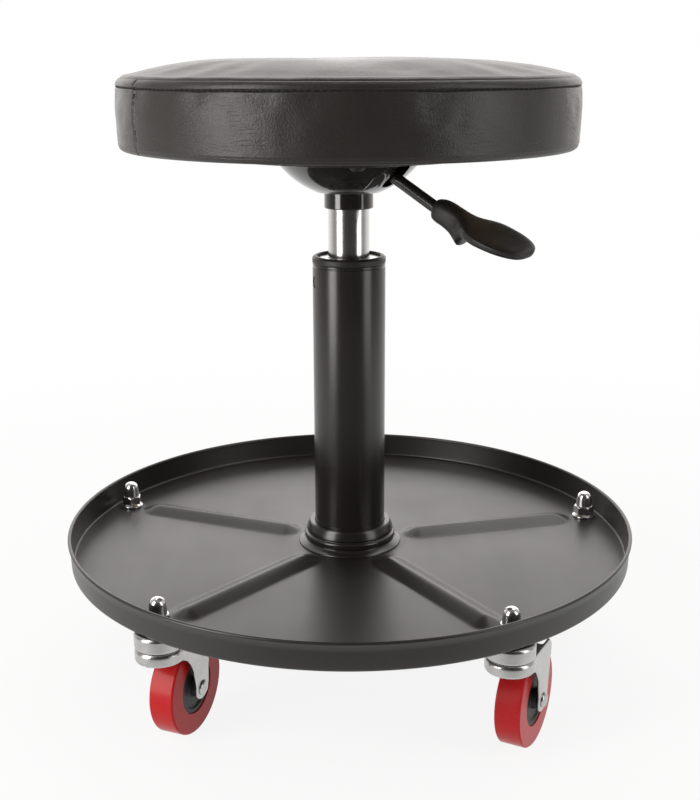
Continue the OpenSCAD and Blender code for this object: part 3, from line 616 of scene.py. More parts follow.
def band_outline():
    """The band from the hem's inner edge, under the seat, up the side to the join with the top."""
    edge_r = SEAT_R - BAND_BULGE / 2
    low_r = edge_r - BAND_DRAW
    corner = (low_r - SEAT_CORNER, SEAT_CORNER)
    points = [Vector((r, 0)) for r in spaced(low_r - HEM_W, corner[0], PANEL_STEP)]
    points += arc(corner, SEAT_CORNER, -90, 0, 8)[1:]
    for z in spaced(SEAT_CORNER, JOIN_Z, BAND_STEP)[1:]:
        s = min(1, z / BAND_H)
        r = low_r + (edge_r - low_r) * s + BAND_BULGE * 4 * s * (1 - s) * (0.5 + 0.5 * s)
        r -= STITCH_GROOVE * exp(-((z - BAND_H) / STITCH_GROOVE_W) ** 2)
        if z > BAND_H:
            r -= SHOULDER_IN * ((z - BAND_H) / SHOULDER_H) ** SHOULDER_POWER
        points.append(Vector((r, z)))
    join = points[-1]
    return points + [join + Vector((-JOIN_TUCK / 2, 0.1)), join + Vector((-JOIN_TUCK, -JOIN_DEPTH))]


def top_outline():
    """The top panel from its join with the band, over its rolled edge, to the crown's middle."""
    start_r = TOP_EDGE_R - TOP_TUCK
    crown_z = SEAT_TOP - SEAT_LOW - CLOTH_RISE
    points = [Vector((start_r, JOIN_Z - JOIN_DEPTH))]
    for on_circle in arc((0, 0), 1, 180, 90, 6)[1:]:
        points.append(Vector((start_r - 0.1 - JOIN_ROLL * (1 + on_circle.x),
                              JOIN_Z - JOIN_DEPTH + (JOIN_DEPTH + JOIN_RISE) * on_circle.y)))
    edge = points[-1]
    for r in spaced(edge.x, 0, PANEL_STEP)[1:]:
        share = r / edge.x
        lift = 1 - CROWN_ROUND * share ** 2 - (1 - CROWN_ROUND) * share ** CROWN_POWER
        points.append(Vector((r, edge.y + (crown_z - edge.y) * lift)))
    return points


def seam_notch(r, z, angle):
    """How deep the upright seam draws the band in."""
    along = abs(angle_past(SEAM_AZ, angle) * r - SEAM_WANDER * sin(z * 0.55))
    on_side = smoothstep((r - SEAT_R + HEM_W / 2) / 6) * smoothstep((z + 1.0) / 3)
    return SEAM_DEPTH * exp(-(along / SEAM_W) ** 2) * on_side


def band_warp(r, z, angle):
    """The upright seam, and slight waves and shallow creases, as vinyl over foam has."""
    around = polar(SEAT_R, angle)
    crease = noise.noise(Vector((around.x * 0.03, around.y * 0.03, z * 0.2)))
    wave = noise.noise(Vector((around.x * 0.012, around.y * 0.012, 3.7 + z * 0.05)))
    soft = smoothstep(z / 10) * smoothstep((BAND_H - z) / 6 + 0.3)
    return r - seam_notch(r, z, angle) + (0.1 * crease + 0.45 * wave) * soft, z


def top_warp(r, z, angle):
    """Broad shallow dimples, and small puckers close to the edge."""
    dimple = noise.noise(polar(r, angle, 9.1) * 0.016)
    edge = noise.noise(Vector((cos(angle) * 9, sin(angle) * 9, r * 0.05)))
    near_edge = smoothstep((r - TOP_EDGE_R + 26) / 20)
    return r, z + 0.9 * dimple * smoothstep((TOP_EDGE_R - r) / 25) + 0.25 * edge * near_edge


def cushion_azimuths():
    """Even steps, with close ones over the upright seam."""
    count, half = 480, 2.4
    near = [SEAM_AZ + side * d / SEAT_R for side in (-1, 1) for d in (0.35, 0.7, 1.1, 1.6, half)]
    far = [a for a in even_angles(count) if abs(a - SEAM_AZ) > half / SEAT_R + pi / count]
    return sorted(far + near + [SEAM_AZ])


def swollen_form():
    """Where the cushion's skin goes when it is blown up a little as cloth: a look-up of moves in space."""
    outline = [p for p in band_outline() if p.x > 0] + top_outline()
    form = new_object("cloth_form", revolve([(0, 0)] + outline, 160, closed=False))
    modify(form, "REMESH", mode="VOXEL", voxel_size=CLOTH_VOXEL * MM)
    before = [v.co.copy() for v in form.data.vertices]
    held = form.vertex_groups.new(name="held")
    held.add([i for i, point in enumerate(before) if point.z < 3 * MM], 1.0, "REPLACE")
    cloth = form.modifiers.new("cloth", "CLOTH")
    for key, value in CLOTH_SETTINGS.items():
        setattr(cloth.settings, key, value)
    cloth.settings.effector_weights.gravity = 0
    cloth.point_cache.frame_end = CLOTH_FRAMES
    scene = bpy.context.scene
    for step in range(1, CLOTH_FRAMES + 1):
        scene.frame_set(step)
    graph = bpy.context.evaluated_depsgraph_get()
    after = [v.co.copy() for v in form.evaluated_get(graph).data.vertices]
    scene.frame_set(1)
    tree = kdtree.KDTree(len(before))
    for i, point in enumerate(before):
        tree.insert(point / MM, i)
    tree.balance()
    bpy.data.objects.remove(form)
    return tree, [(b - a) / MM for a, b in zip(before, after)]


def puffed(shape, swell):
    """The shape with each point moved as its nearest points of the blown form did, within a cap."""
    if swell is None:
        return shape
    tree, moves = swell
    out = []
    for vert in shape[0]:
        point = Vector(vert)
        total, weights = Vector((0, 0, 0)), 0.0
        for _, index, distance in tree.find_n(point, PUFF_NEIGHBOURS):
            weight = 1 / (distance + 1.0)
            total += moves[index] * weight
            weights += weight
        move = total / weights * PUFF_SHARE
        if move.length > CLOTH_CAP:
            move *= CLOTH_CAP / move.length
        near_join = 0.75 * exp(-((point.z - JOIN_Z) / 4) ** 2)
        near_rim = smoothstep((point.to_2d().length - SEAT_R + 30) / 20)
        above_hem = smoothstep((point.z - 0.5) / 8)
        out.append(tuple(point + move * (1 - near_rim * near_join) * above_hem))
    return out, shape[1]


def lifted(shape):
    """Puts a shape of the cushion's own heights at the seat's height."""
    return moved(shape, Matrix.Translation((0, 0, SEAT_LOW)))


def build_cover(name, outline, warp, swell, node):
    """One of the cushion's two covers: a skin that gets its thickness inwards."""
    shape = revolve(outline, closed=False, azimuths=cushion_azimuths(), warp=warp)
    cover = new_object(name, lifted(puffed(shape, swell)), 60)
    modify(cover, "SOLIDIFY", thickness=VINYL_T * MM, offset=-1)
    finish_piece(cover, "seat", "black_vinyl", node, even=False)


def capsule(start, end):
    """A stitch: a short thread that dips into the vinyl at both ends."""
    inward = Vector((-start.x, -start.y, 0)).normalized()
    path = [start.lerp(end, share) + inward * dip * THREAD_R for share, dip, _ in STITCH_SHARES]
    return sweep(path, [THREAD_R * size for _, _, size in STITCH_SHARES], 8)


def build_stitches():
    """A ring of topstitching in the band's groove, and the upright seam's stitches."""
    side = [p for p in band_outline() if p.y > 1]

    def radius_at(z):
        return min(side, key=lambda p: abs(p.y - z)).x

    ring_r = radius_at(BAND_H) - 0.12
    count = round(FULL_TURN * ring_r / STITCH_PITCH)
    shapes = [capsule(polar(ring_r, a, BAND_H), polar(ring_r, a + STITCH_L / ring_r, BAND_H))
              for a in even_angles(count)]
    for z in spaced(SEAT_CORNER + 1, BAND_H - 2, STITCH_PITCH)[:-1]:
        foot = polar(radius_at(z + STITCH_L / 2) - 0.75 * SEAM_DEPTH, SEAM_AZ, z)
        shapes.append(capsule(foot, foot + Vector((0, 0, STITCH_L))))
    thing = new_object("cushion_stitches", lifted(merged(shapes)), 60)
    finish_piece(thing, "seat", "black_vinyl", material=thread(), even=False)


def build_foam(swell):
    """The foam block between the board and the cover."""
    board_r = outer_radius("seat_board") + 0.1
    board_top = box("seat_board")[1].z - SEAT_LOW
    inset = VINYL_T + 0.4
    side = [(p.x - FOAM_INSET, max(p.y, inset)) for p in band_outline() if p.y > SEAT_CORNER]
    crown = [(max(0, p.x - inset), p.y - FOAM_INSET) for p in top_outline() if p.x > 0]
    edge = [(0, board_top), (board_r, board_top), (board_r, inset), (side[0][0] - 3, inset)]
    outline = edge + side[:-2] + crown[6:] + [(0, crown[-1][1])]
    shape = puffed(revolve(outline, 200, closed=False), swell)
    thing = new_object("cushion_foam_block", lifted(shape), 40)
    finish_piece(thing, "seat", "foam", "seat_foam", even=False)


def build_cushion():
    swell = swollen_form()
    build_cover("cushion_side_band", band_outline(), band_warp, swell, "seat_side_band")
    build_cover("cushion_top_panel", top_outline(), top_warp, swell, "seat_top_cover")
    build_stitches()
    build_foam(swell)


build_cushion()

# The tray
TRAY_LOW = box("base_plate")[1].z
TRAY_R = outer_radius("tray")
RIM_TOP = box("tray")[1].z
TUBE_R = outer_radius("outer_tube")
SHEET_T = 1.2
FLOOR_Z = TRAY_LOW + SHEET_T
BEAD_R = 1.3
WALL_LEAN = 0.5
TRAY_BEND = 2.4
RIB_W = 24
RIB_H = 4.4
RIB_CREST = 2.2
RIB_FOOT = 0.3
RIB_OUT_R = 171
RIB_IN_R = 40
RIB_SECTOR = radians(8)
PAD_R = 9.5
PAD_H = 0.4
COLLAR_PAD_R = outer_radius("base_collar") + 1
BOLTS = [middle(f"caster_{n}_cup") for n in CASTERS]
BOLT_AZ = [atan2(b.y, b.x) % FULL_TURN for b in BOLTS]
BOLT_RING_R = BOLTS[0].to_2d().length


def rib_height(r, angle):
    """Height of the pressed ribs and of the nuts' and the collar's pads above the plain floor."""
    best = PAD_H * smoothstep(COLLAR_PAD_R + 0.5 - r)
    half = RIB_W / 2
    for azimuth in BOLT_AZ:
        across = r * sin(angle - azimuth)
        along = r * cos(angle - azimuth)
        if along < 0 or abs(across) > RIB_W:
            continue
        pad = smoothstep(PAD_R + 0.5 - hypot(along - BOLT_RING_R, across))
        best = max(best, PAD_H * pad)
        past_end = max(0, RIB_IN_R + half - along, along - RIB_OUT_R + half)
        away = hypot(across, past_end)
        fall = (hypot(away, RIB_CREST) - RIB_CREST) / (hypot(half, RIB_CREST) - RIB_CREST)
        roof = RIB_H * (1 - fall)
        best = max(best, (roof + hypot(roof, RIB_FOOT)) / 2 if away < half + 1 else 0)
    return best


def tray_azimuths():
    """Close steps over the ribs and wider ones between them."""
    angles = []
    for azimuth in BOLT_AZ:
        end = azimuth + RIB_SECTOR
        after = azimuth + FULL_TURN / len(BOLT_AZ) - RIB_SECTOR
        angles += spaced(azimuth - RIB_SECTOR, end, radians(0.36))
        angles += spaced(end, after, radians(0.9))[1:-1]
    return sorted(a % FULL_TURN for a in angles)


def build_tray():
    top_r = TRAY_R - BEAD_R
    foot_r = top_r - WALL_LEAN
    radii = spaced(TUBE_R + 0.1, RIB_IN_R - 2, 3) + spaced(RIB_IN_R, RIB_OUT_R + 2, 1.7)
    radii += spaced(RIB_OUT_R + 3, foot_r - SHEET_T - TRAY_BEND - 0.5, 1.2)
    inside = [(radii[-1], FLOOR_Z), (foot_r - SHEET_T, FLOOR_Z), (top_r - SHEET_T, RIM_TOP - 2 * BEAD_R)]
    inside = rounded(inside, (0, TRAY_BEND, 0), 7, closed=False)
    outside = [(top_r, RIM_TOP - 2.4 * BEAD_R), (foot_r, TRAY_LOW), (radii[-1], TRAY_LOW)]
    outside = rounded(outside, (0, TRAY_BEND + SHEET_T, 0), 7, closed=False)
    outline = [(r, FLOOR_Z) for r in radii] + inside[1:-1]
    outline += [inside[-2].lerp(inside[-1], share) for share in (0.25, 0.5, 0.75, 1)]
    outline += arc((top_r, RIM_TOP - BEAD_R), BEAD_R, 200, -40, 10)
    outline += [outside[0].lerp(outside[1], share) for share in (0, 0.25, 0.5, 0.75)]
    outline += outside[1:-1] + [(r, TRAY_LOW) for r in reversed(radii)]

    def warp(r, z, angle):
        on_floor = r < foot_r - 0.2 and z < FLOOR_Z + 2
        return r, z + (rib_height(r, angle) if on_floor else 0.0)

    tray = new_object("tool_tray", revolve(outline, azimuths=tray_azimuths(), warp=warp), 50)
    finish_piece(tray, "base", "black_powder_coat", "tray", material=tray_paint(), even=False)


build_tray()

# The post
TUBE_WALL = 1.5
LONGEST_STEP = 12
GROOVE_DEPTH = 0.35
GROOVE_DROP = 1.8
PEG_AZ = 200
PEG_DROP = 12.4
PEG_R = 4.1
CAP_WALL = 3.4
# Up the collar: shares of its height and of its foot's radius, and the corner's rounding in millimetres
COLLAR_SHARES = (
    (0.0, 1.0, 0.4), (0.05, 0.985, 0.5), (0.12, 0.90, 2.0), (0.20, 0.855, 1.5), (0.26, 0.875, 1.4),
    (0.46, 0.875, 1.8), (0.54, 0.82, 0.6), (0.60, 0.845, 0.8), (0.72, 0.83, 1.2), (0.92, 0.795, 1.0),
    (1.0, 0.775, 0.4),
)


def build_tube():
    """The outer tube, with a fine groove below its rolled top and a hole for the bush's peg."""
    low, high = box("outer_tube")
    groove_z, groove_r = high.z - GROOVE_DROP, TUBE_R - GROOVE_DEPTH
    inner_r = TUBE_R - TUBE_WALL
    points = [(inner_r, low.z), (TUBE_R, low.z), (TUBE_R, groove_z - 0.6), (groove_r, groove_z - 0.3),
              (groove_r, groove_z + 0.3), (TUBE_R, groove_z + 0.6), (TUBE_R, high.z), (inner_r, high.z)]
    outline = rounded(points, (0.2, 0.3, 0.3, 0.1, 0.1, 0.3, 0.5, 0.2), 4)
    tall = [outline[0]]
    for point in outline[1:] + outline[:1]:
        start = tall[-1]
        pieces = max(1, round((point - start).length / LONGEST_STEP))
        tall += [start.lerp(point, k / pieces) for k in range(1, pieces + 1)]
    tube = new_object("post_tube", revolve(tall[:-1], 192), 40)
    peg = turned("Z", PEG_AZ) @ Matrix.Translation((0, 0, high.z - PEG_DROP)) @ turned("Y", 90)
    boolean(tube, moved(sweep([Vector((0, 0, 10)), Vector((0, 0, 2 * TUBE_R))], PEG_R, 48), peg))
    finish_piece(tube, "base", "black_powder_coat", "outer_tube")


def build_collar():
    """The pressed cover where the tube meets the tray: a flared foot, a bead and a lip."""
    low, high = box("base_collar")
    foot_r, height = outer_radius("base_collar"), high.z - low.z
    points = [(foot_r * r, low.z + height * z) for z, r, _ in COLLAR_SHARES]
    points = [(TUBE_R + 0.1, low.z)] + points + [(TUBE_R + 0.1, high.z)]
    radii = [0] + [radius for _, _, radius in COLLAR_SHARES] + [0.3]
    lathe_piece("tube_base_collar", points, radii, "base", "black_powder_coat", "base_collar")


def build_cap():
    """The tube's cap: a rounded plastic ring with an inner floor."""
    low, high = box("tube_cap")
    cap_r = TUBE_R + 0.15
    wall_r, hole_r = cap_r - CAP_WALL, outer_radius("gas_column") + 0.4
    points = [(hole_r, low.z), (cap_r - 0.25, low.z), (cap_r, low.z + 0.9), (cap_r, high.z - 1.3),
              (cap_r - 1.6, high.z), (wall_r, high.z), (wall_r, low.z + 2), (hole_r, low.z + 2)]
    radii = (0.2, 0.2, 0.2, 1.0, 1.2, 0.7, 0.2, 0.3)
    lathe_piece("tube_cap_ring", points, radii, "base", "black_plastic", "tube_cap")


build_tube()
build_collar()
build_cap()

# The seat's mount and its lever
BOWL_BALL_R = 60
BOWL_FLAT_R = 22
BOWL_SHEET = 2.0
MOUTH_W = 14
MOUTH_LIP = 4.6
MOUTH_ROUND = 5.5
ARCH_R = 4.6
ARCH_FOOT = 5.5
ARCH_LEG_H = 4.5
ARCH_DEPTH = 0.45
ARCH_LINE_W = 0.55
SOCKET_R = outer_radius("taper_socket")
ROD_Z = box("seat_bowl")[0].z + 16.5
LEVER_AZ = radians(-40)
ARCH_AZ = LEVER_AZ - radians(22)
ROD_R = 4.0
ROD_GRIP = 20
ROD_END_X = -5
BEND_R = 29
HANDLE_START_R = 73
ROD_SLOPE = radians(27)
HANDLE_SLOPE = radians(17.7)
HANDLE_START = Vector((HANDLE_START_R, 0, -(HANDLE_START_R - BEND_R) * tan(ROD_SLOPE)))
HANDLE_L = 73.8
SLEEVE_W = 15
PADDLE_W = 34.5
PADDLE_T = 9
PADDLE_TURN = radians(8)
# Shares of the handle's sections: place, sleeve width, paddle width, height above and depth below
HANDLE_SHARES = (
    (0.00, 0.66, 0.00, 0.58, 0.58), (0.01, 0.80, 0.00, 0.70, 0.72), (0.03, 0.93, 0.00, 0.77, 0.80),
    (0.07, 1.00, 0.00, 0.84, 0.88), (0.14, 1.02, 0.00, 0.84, 0.96), (0.22, 1.02, 0.00, 0.76, 1.16),
    (0.285, 0.98, 0.04, 0.68, 1.50), (0.325, 0.92, 0.12, 0.62, 1.70), (0.345, 0.88, 0.18, 0.59, 1.60),
    (0.365, 0.82, 0.26, 0.56, 1.30), (0.40, 0.70, 0.42, 0.52, 0.96), (0.47, 0.42, 0.74, 0.45, 0.68),
    (0.57, 0.14, 0.97, 0.37, 0.60), (0.68, 0.00, 1.04, 0.31, 0.56), (0.78, 0.00, 0.99, 0.27, 0.53),
    (0.87, 0.00, 0.86, 0.23, 0.50), (0.93, 0.00, 0.70, 0.21, 0.47), (0.965, 0.00, 0.55, 0.17, 0.42),
    (0.985, 0.00, 0.40, 0.11, 0.35), (1.00, 0.00, 0.22, 0.03, 0.26),
)


def lever_frame():
    """From the lever's own plane, x outwards along it and z up, to the seat's place."""
    return Matrix.Translation((0, 0, ROD_Z)) @ Matrix.Rotation(LEVER_AZ, 4, "Z")


def mouth_cutter(bowl_low):
    """A slot with a rounded bottom, through the bowl's side where the rod comes out."""
    half, low, high = MOUTH_W / 2, bowl_low + MOUTH_LIP - ROD_Z, 12
    outline = [(-half, low), (half, low), (half, high), (-half, high)]
    outline = rounded(outline, (MOUTH_ROUND, MOUTH_ROUND, 0, 0), 8)
    return moved(loft([[(x, p.x, p.y) for p in outline] for x in (BEND_R, BOWL_BALL_R + 6)]), lever_frame())


def arch_ridge(across, up):
    """Height of the embossed arch: two legs that spread at their feet, joined by a half circle."""
    if up > ARCH_LEG_H:
        away = abs(hypot(across, up - ARCH_LEG_H) - ARCH_R)
    else:
        away = hypot(abs(across) - ARCH_R - 0.25 * max(0, 3 - up), max(0, -up))
    return ARCH_DEPTH * exp(-(away / ARCH_LINE_W) ** 2)


def build_bowl():
    """The pressed steel bowl: a ball's cap with a flat bottom, a flange, the lever's mouth and an arch."""
    low, high = box("seat_bowl")
    flange_r = outer_radius("seat_bowl")
    centre_z = low.z + sqrt(BOWL_BALL_R ** 2 - BOWL_FLAT_R ** 2)
    top_z = high.z - BOWL_SHEET
    inner_r = BOWL_BALL_R - BOWL_SHEET
    heights = spaced(low.z + 1.2, top_z - 1.4, 0.8)
    outside = [(sqrt(BOWL_BALL_R ** 2 - (centre_z - z) ** 2), z) for z in heights]
    inside = [(sqrt(inner_r ** 2 - (centre_z - z) ** 2), z + BOWL_SHEET * 0.2) for z in heights]
    points = [(SOCKET_R + 0.1, low.z), (BOWL_FLAT_R + 0.3, low.z)] + outside
    points += [(outside[-1][0] + 1.6, top_z), (flange_r, top_z), (flange_r, high.z)]
    points += [(inside[-1][0] + 1.2, high.z)]
    points += inside[::-1] + [(BOWL_FLAT_R - 1, low.z + BOWL_SHEET), (SOCKET_R + 0.1, low.z + BOWL_SHEET)]
    on_ball = [0] * len(heights)
    outline = rounded(points, [0, 2.5, *on_ball, 1.6, 0.8, 0, 1.6, *on_ball, 0, 0], 4)

    def warp(r, z, angle):
        if r < BOWL_FLAT_R or z > top_z - 0.5 or hypot(centre_z - z, r) < BOWL_BALL_R - 0.5:
            return r, z
        return r + arch_ridge(angle_past(ARCH_AZ, angle) * r, z - low.z - ARCH_FOOT), z

    half = 0.27
    azimuths = spaced(ARCH_AZ - half, ARCH_AZ + half, 0.009)
    azimuths += spaced(ARCH_AZ + half, ARCH_AZ + FULL_TURN - half, 0.03)[1:-1]
    azimuths = sorted(a % FULL_TURN for a in azimuths)
    bowl = new_object("seat_plate_bowl", revolve(outline, azimuths=azimuths, warp=warp), 40)
    boolean(bowl, mouth_cutter(low.z))
    finish_piece(bowl, "seat", "gloss_black_paint", "seat_bowl")


def build_socket():
    low, high = box("taper_socket")
    inner = outer_radius("gas_column") + 0.1
    points = [(inner, low.z), (SOCKET_R - 0.4, low.z), (SOCKET_R, low.z + 0.5), (SOCKET_R, high.z),
              (inner - 0.8, high.z)]
    radii = (0.3, 0.5, 0.5, 0.6, 0.2)
    lathe_piece("column_socket", points, radii, "seat", "gloss_black_paint", "taper_socket")


def build_rod():
    """The bent steel rod, with a ground end inside the bowl."""
    grip = Vector((cos(HANDLE_SLOPE), 0, -sin(HANDLE_SLOPE))) * ROD_GRIP
    path = [(ROD_END_X, 0, 0), (BEND_R, 0, 0), HANDLE_START, HANDLE_START + grip]
    path = rounded(path, (0, 9, 14, 0), 10, closed=False)
    chamfer = 0.6
    path.insert(1, path[0] + Vector((chamfer, 0, 0)))
    radii = [ROD_R - chamfer] + [ROD_R] * (len(path) - 1)
    rod = new_object("release_lever_rod", moved(sweep(path, radii, 40), lever_frame()), 40)
    finish_piece(rod, "lever", "black_powder_coat", "lever_rod")


def between(rows, place):
    """A row at a place, on a smooth curve through the rows of shares."""
    i = max(k for k, row in enumerate(rows[:-1]) if row[0] <= place + 1e-9)
    a, b = rows[i], rows[i + 1]
    before, after = rows[max(0, i - 1)], rows[min(len(rows) - 1, i + 2)]
    span = b[0] - a[0]
    t = (place - a[0]) / span
    out = []
    for column in range(1, len(a)):
        slope_a = (b[column] - before[column]) / (b[0] - before[0])
        slope_b = (after[column] - a[column]) / (after[0] - a[0])
        bend = t * (1 - t) * span * ((1 - t) * slope_a - t * slope_b)
        out.append(a[column] + (b[column] - a[column]) * smoothstep(t) + bend)
    return out


def handle_ring(place, sides=72):
    """The handle's section at a share of its length: a superellipse, dished on top of the paddle."""
    sleeve, paddle, above, below = between(HANDLE_SHARES, place)
    half = (sleeve * SLEEVE_W + paddle * PADDLE_W) / 2
    dish = 0.7 * smoothstep((place - 0.5) / 0.15) * smoothstep((0.97 - place) / 0.1)
    power = 0.78 - 0.18 * smoothstep((place - 0.35) / 0.2)
    turn = PADDLE_TURN * smoothstep((place - 0.25) / 0.35)
    ring = []
    for a in even_angles(sides):
        across, up = (copysign(abs(x) ** power, x) for x in (cos(a), sin(a)))
        y, z = half * across, PADDLE_T * up * (above if up > 0 else below)
        if up > 0:
            z -= dish * (1 - across ** 2)
        ring.append(Vector((place * HANDLE_L, y * cos(turn) - z * sin(turn),
                            y * sin(turn) + z * cos(turn))))
    return ring


def build_handle():
    """The moulded handle: a round sleeve, a finger hook beneath, a flat paddle and a hole for the rod."""
    places = sorted(set(spaced(0, 1, 0.0125) + [0.003, 0.007, 0.018, 0.985, 0.992, 0.997]))
    rings = [handle_ring(place) for place in places]
    centre = Vector((HANDLE_L, 0, -PADDLE_T * 0.18))
    rings.append([centre + (p - centre) * 0.55 + Vector((0.35, 0, 0)) for p in rings[-1]])
    place = lever_frame() @ Matrix.Translation(HANDLE_START) @ Matrix.Rotation(HANDLE_SLOPE, 4, "Y")
    handle = new_object("release_lever_handle", moved(loft(rings), place), 50)
    rod_hole = sweep([Vector((-3, 0, 0)), Vector((ROD_GRIP + 1, 0, 0))], ROD_R + 0.15, 48)
    boolean(handle, moved(rod_hole, place), flat_angle=50)
    finish_piece(handle, "lever", "black_plastic", "lever_handle")


def build_spacer():
    low, high = box("spacer_disc")
    r, inner = outer_radius("spacer_disc"), SOCKET_R + 4
    points = [(inner, low.z), (r, low.z), (r, high.z), (inner, high.z)]
    lathe_piece("seat_spacer", points, (0.5, 1.2, 0.8, 0.3), "seat", "black_board", "spacer_disc", 200)


build_bowl()
build_socket()
build_rod()
build_handle()
build_spacer()

# Acorn nuts
NUT_LOW = box("acorn_nuts")[0].z
NUT_TOP = box("acorn_nuts")[1].z
NUT_AF = 13
NUT_BORE_R = 3.6
NUT_FLANGE_R = 8.5
NUT_FLANGE_H = 2.6
NUT_HEX_H = 6.0
NUT_DOME_R = 5.9


def nut_shape():
    """One acorn nut: a flange, a chamfered hexagon and a dome, about its own axis."""
    hex_low = NUT_LOW + NUT_FLANGE_H
    hex_top = hex_low + NUT_HEX_H
    dome_h = NUT_TOP - hex_top
    edge_r = dome_h * 0.45
    flange = [(NUT_BORE_R, NUT_LOW + 4), (NUT_BORE_R, NUT_LOW), (NUT_FLANGE_R, NUT_LOW),
              (NUT_FLANGE_R, NUT_LOW + NUT_FLANGE_H / 2), (NUT_FLANGE_R - 1.6, hex_low)]
    outline = rounded(flange, (0, 0, 0.4, 0.6, 0), 4, closed=False)
    outline += [(NUT_AF, hex_low + rise) for rise in (-0.1, 0.5)]
    outline += [(NUT_AF, hex_top - drop) for drop in (2.2, 1.6, 1.1, 0.6, 0.1)]
    outline += [(NUT_DOME_R, hex_top), (NUT_DOME_R - 0.15, hex_top + 0.8),
                (NUT_DOME_R - 0.35, hex_top + dome_h / 2)]
    outline += arc((NUT_DOME_R - 0.5 - edge_r, NUT_TOP - edge_r), edge_r, 0, 90, 9) + [(0, NUT_TOP)]

    def warp(r, z, angle):
        """The points across the flats go to the hexagon's side or to one of its two chamfers."""
        if r != NUT_AF:
            return r, z
        sixth = pi / 3
        side = NUT_AF / 2 / cos((angle + sixth / 2) % sixth - sixth / 2)
        chamfer = NUT_AF / 2 - 0.1 + (hex_top - z) * 1.15
        foot = NUT_AF / 2 + 0.4 + (z - hex_low + 0.3) * 2.0
        return min(side, chamfer, foot), z

    return revolve(outline, 96, closed=False, warp=warp)


def build_nuts():
    shapes = []
    for k, bolt in enumerate(BOLTS):
        shapes.append(moved(nut_shape(), Matrix.Translation((bolt.x, bolt.y, 0)) @ turned("Z", 17 + 23 * k)))
    finish_piece(new_object("tray_acorn_nuts", merged(shapes), 28), "base", "bright_chrome", "acorn_nuts")


build_nuts()

# Casters. Each is built about its swivel axis, with the wheel towards +X, and then turned into place
CUP_LOW, CUP_TOP = box("caster_1_cup")[0].z, box("caster_1_cup")[1].z
CROWN_R = outer_radius("caster_1_cup")
AXLE_Z = middle("caster_1_core").z
WHEEL_R = box("caster_1_tyre")[1].z - AXLE_Z
TRAIL = (middle("caster_1_core") - BOLTS[0]).to_2d().length
CROWN_TOP = CUP_LOW - 0.3
CROWN_LOW = CROWN_TOP - 8.6
FORK_GAP = 22
FORK_T = 2
FORK_VOXEL = 0.62
FORK_SMOOTHINGS = 6
LEG_TIP_R = 8
LEG_BROW = 5
LEG_FLARE = 0.045
AXLE_HEAD_R = 5
AXLE_HEAD_H = 2.3
BOLT_R = 4
CORE_R = 18
CORE_W = 21.4
TYRE_W = 17
TREAD_W = 15.2


def leg_outline():
    """The fork's leg from the side: a straight rear edge, a round tip and a hollow front edge."""
    rear, front = TRAIL + LEG_TIP_R, -0.4 * CROWN_R
    points = [Vector((front, CROWN_TOP - LEG_BROW)), Vector((front + LEG_BROW, CROWN_TOP)),
              Vector((rear - LEG_BROW, CROWN_TOP)), Vector((rear, CROWN_TOP - LEG_BROW))]
    points += arc((TRAIL, AXLE_Z), LEG_TIP_R, 0, -150, 9)
    tip, shoulder = points[-1], Vector((front + 1, CROWN_LOW))
    control = Vector((tip.x - 2.5, shoulder.y - 1.5))
    for t in spaced(0, 1, 1 / 12)[1:]:
        points.append(tip * (1 - t) ** 2 + control * 2 * t * (1 - t) + shoulder * t ** 2)
    return points + [Vector((front, CROWN_LOW))]


def fork_mesh():
    """The pressed fork: a crown like an upturned pan, and two legs that grow out of its skirt."""
    half, bore_r, pan_r = FORK_GAP / 2, BOLT_R + 0.5, CROWN_R - FORK_T
    crown = [(bore_r, CROWN_TOP - FORK_T), (pan_r, CROWN_TOP - FORK_T), (pan_r, CROWN_LOW),
             (CROWN_R, CROWN_LOW), (CROWN_R, CROWN_TOP), (bore_r, CROWN_TOP)]
    fork = new_object("fork_work", revolve(rounded(crown, (0, 1.2, 0, 0, 3.0, 0), 4), 96))
    for side in (-1, 1):
        flat, faces = prism(leg_outline(), *sorted((side * half, side * (half + FORK_T))))
        leg = [(x, across + side * LEG_FLARE * (z - AXLE_Z), z) for x, z, across in flat]
        boolean(fork, (leg, faces), "UNION")
    deck_w = half + FORK_T / 2 + LEG_FLARE * (CROWN_TOP - AXLE_Z)
    boolean(fork, block((0, -deck_w, CROWN_TOP - FORK_T), (TRAIL - 6, deck_w, CROWN_TOP)), "UNION")
    boolean(fork, block((0, -half, CROWN_LOW - 1), (TRAIL + LEG_TIP_R + 2, half, CROWN_TOP - FORK_T)))
    modify(fork, "REMESH", mode="VOXEL", voxel_size=FORK_VOXEL * MM)
    modify(fork, "SMOOTH", factor=0.5, iterations=FORK_SMOOTHINGS)
    mesh = fork.data
    mesh.shade_smooth()
    bpy.data.objects.remove(fork)
    return mesh


def cup_shape():
    """The swivel cup: a pan with rounded lower and upper edges."""
    bore_r, pan_r = BOLT_R + 0.1, CROWN_R - 1.6
    points = [(bore_r, CUP_TOP - 1.8), (pan_r, CUP_TOP - 1.8), (pan_r, CUP_LOW), (CROWN_R - 0.2, CUP_LOW),
              (CROWN_R, CUP_LOW + 1.0), (CROWN_R, CUP_TOP - 0.5), (bore_r, CUP_TOP)]
    return revolve(rounded(points, (0, 1.2, 0.3, 0.5, 1.2, 2.6, 0), 6), 96)


def axle_shape():
    """The riveted axle: a pin with a domed head at each end."""
    half, edge = FORK_GAP / 2 + FORK_T, 0.35
    end = [(3, half - 1), (3, half), (AXLE_HEAD_R - 0.15, half)]
    for on_circle in arc((0, 0), 1, 0, 90, 8)[:-1]:
        end.append((AXLE_HEAD_R * on_circle.x, half + edge + (AXLE_HEAD_H - edge) * on_circle.y))
    end.append((0, half + AXLE_HEAD_H))
    return revolve([(r, -z) for r, z in reversed(end)] + end, 48, closed=False)


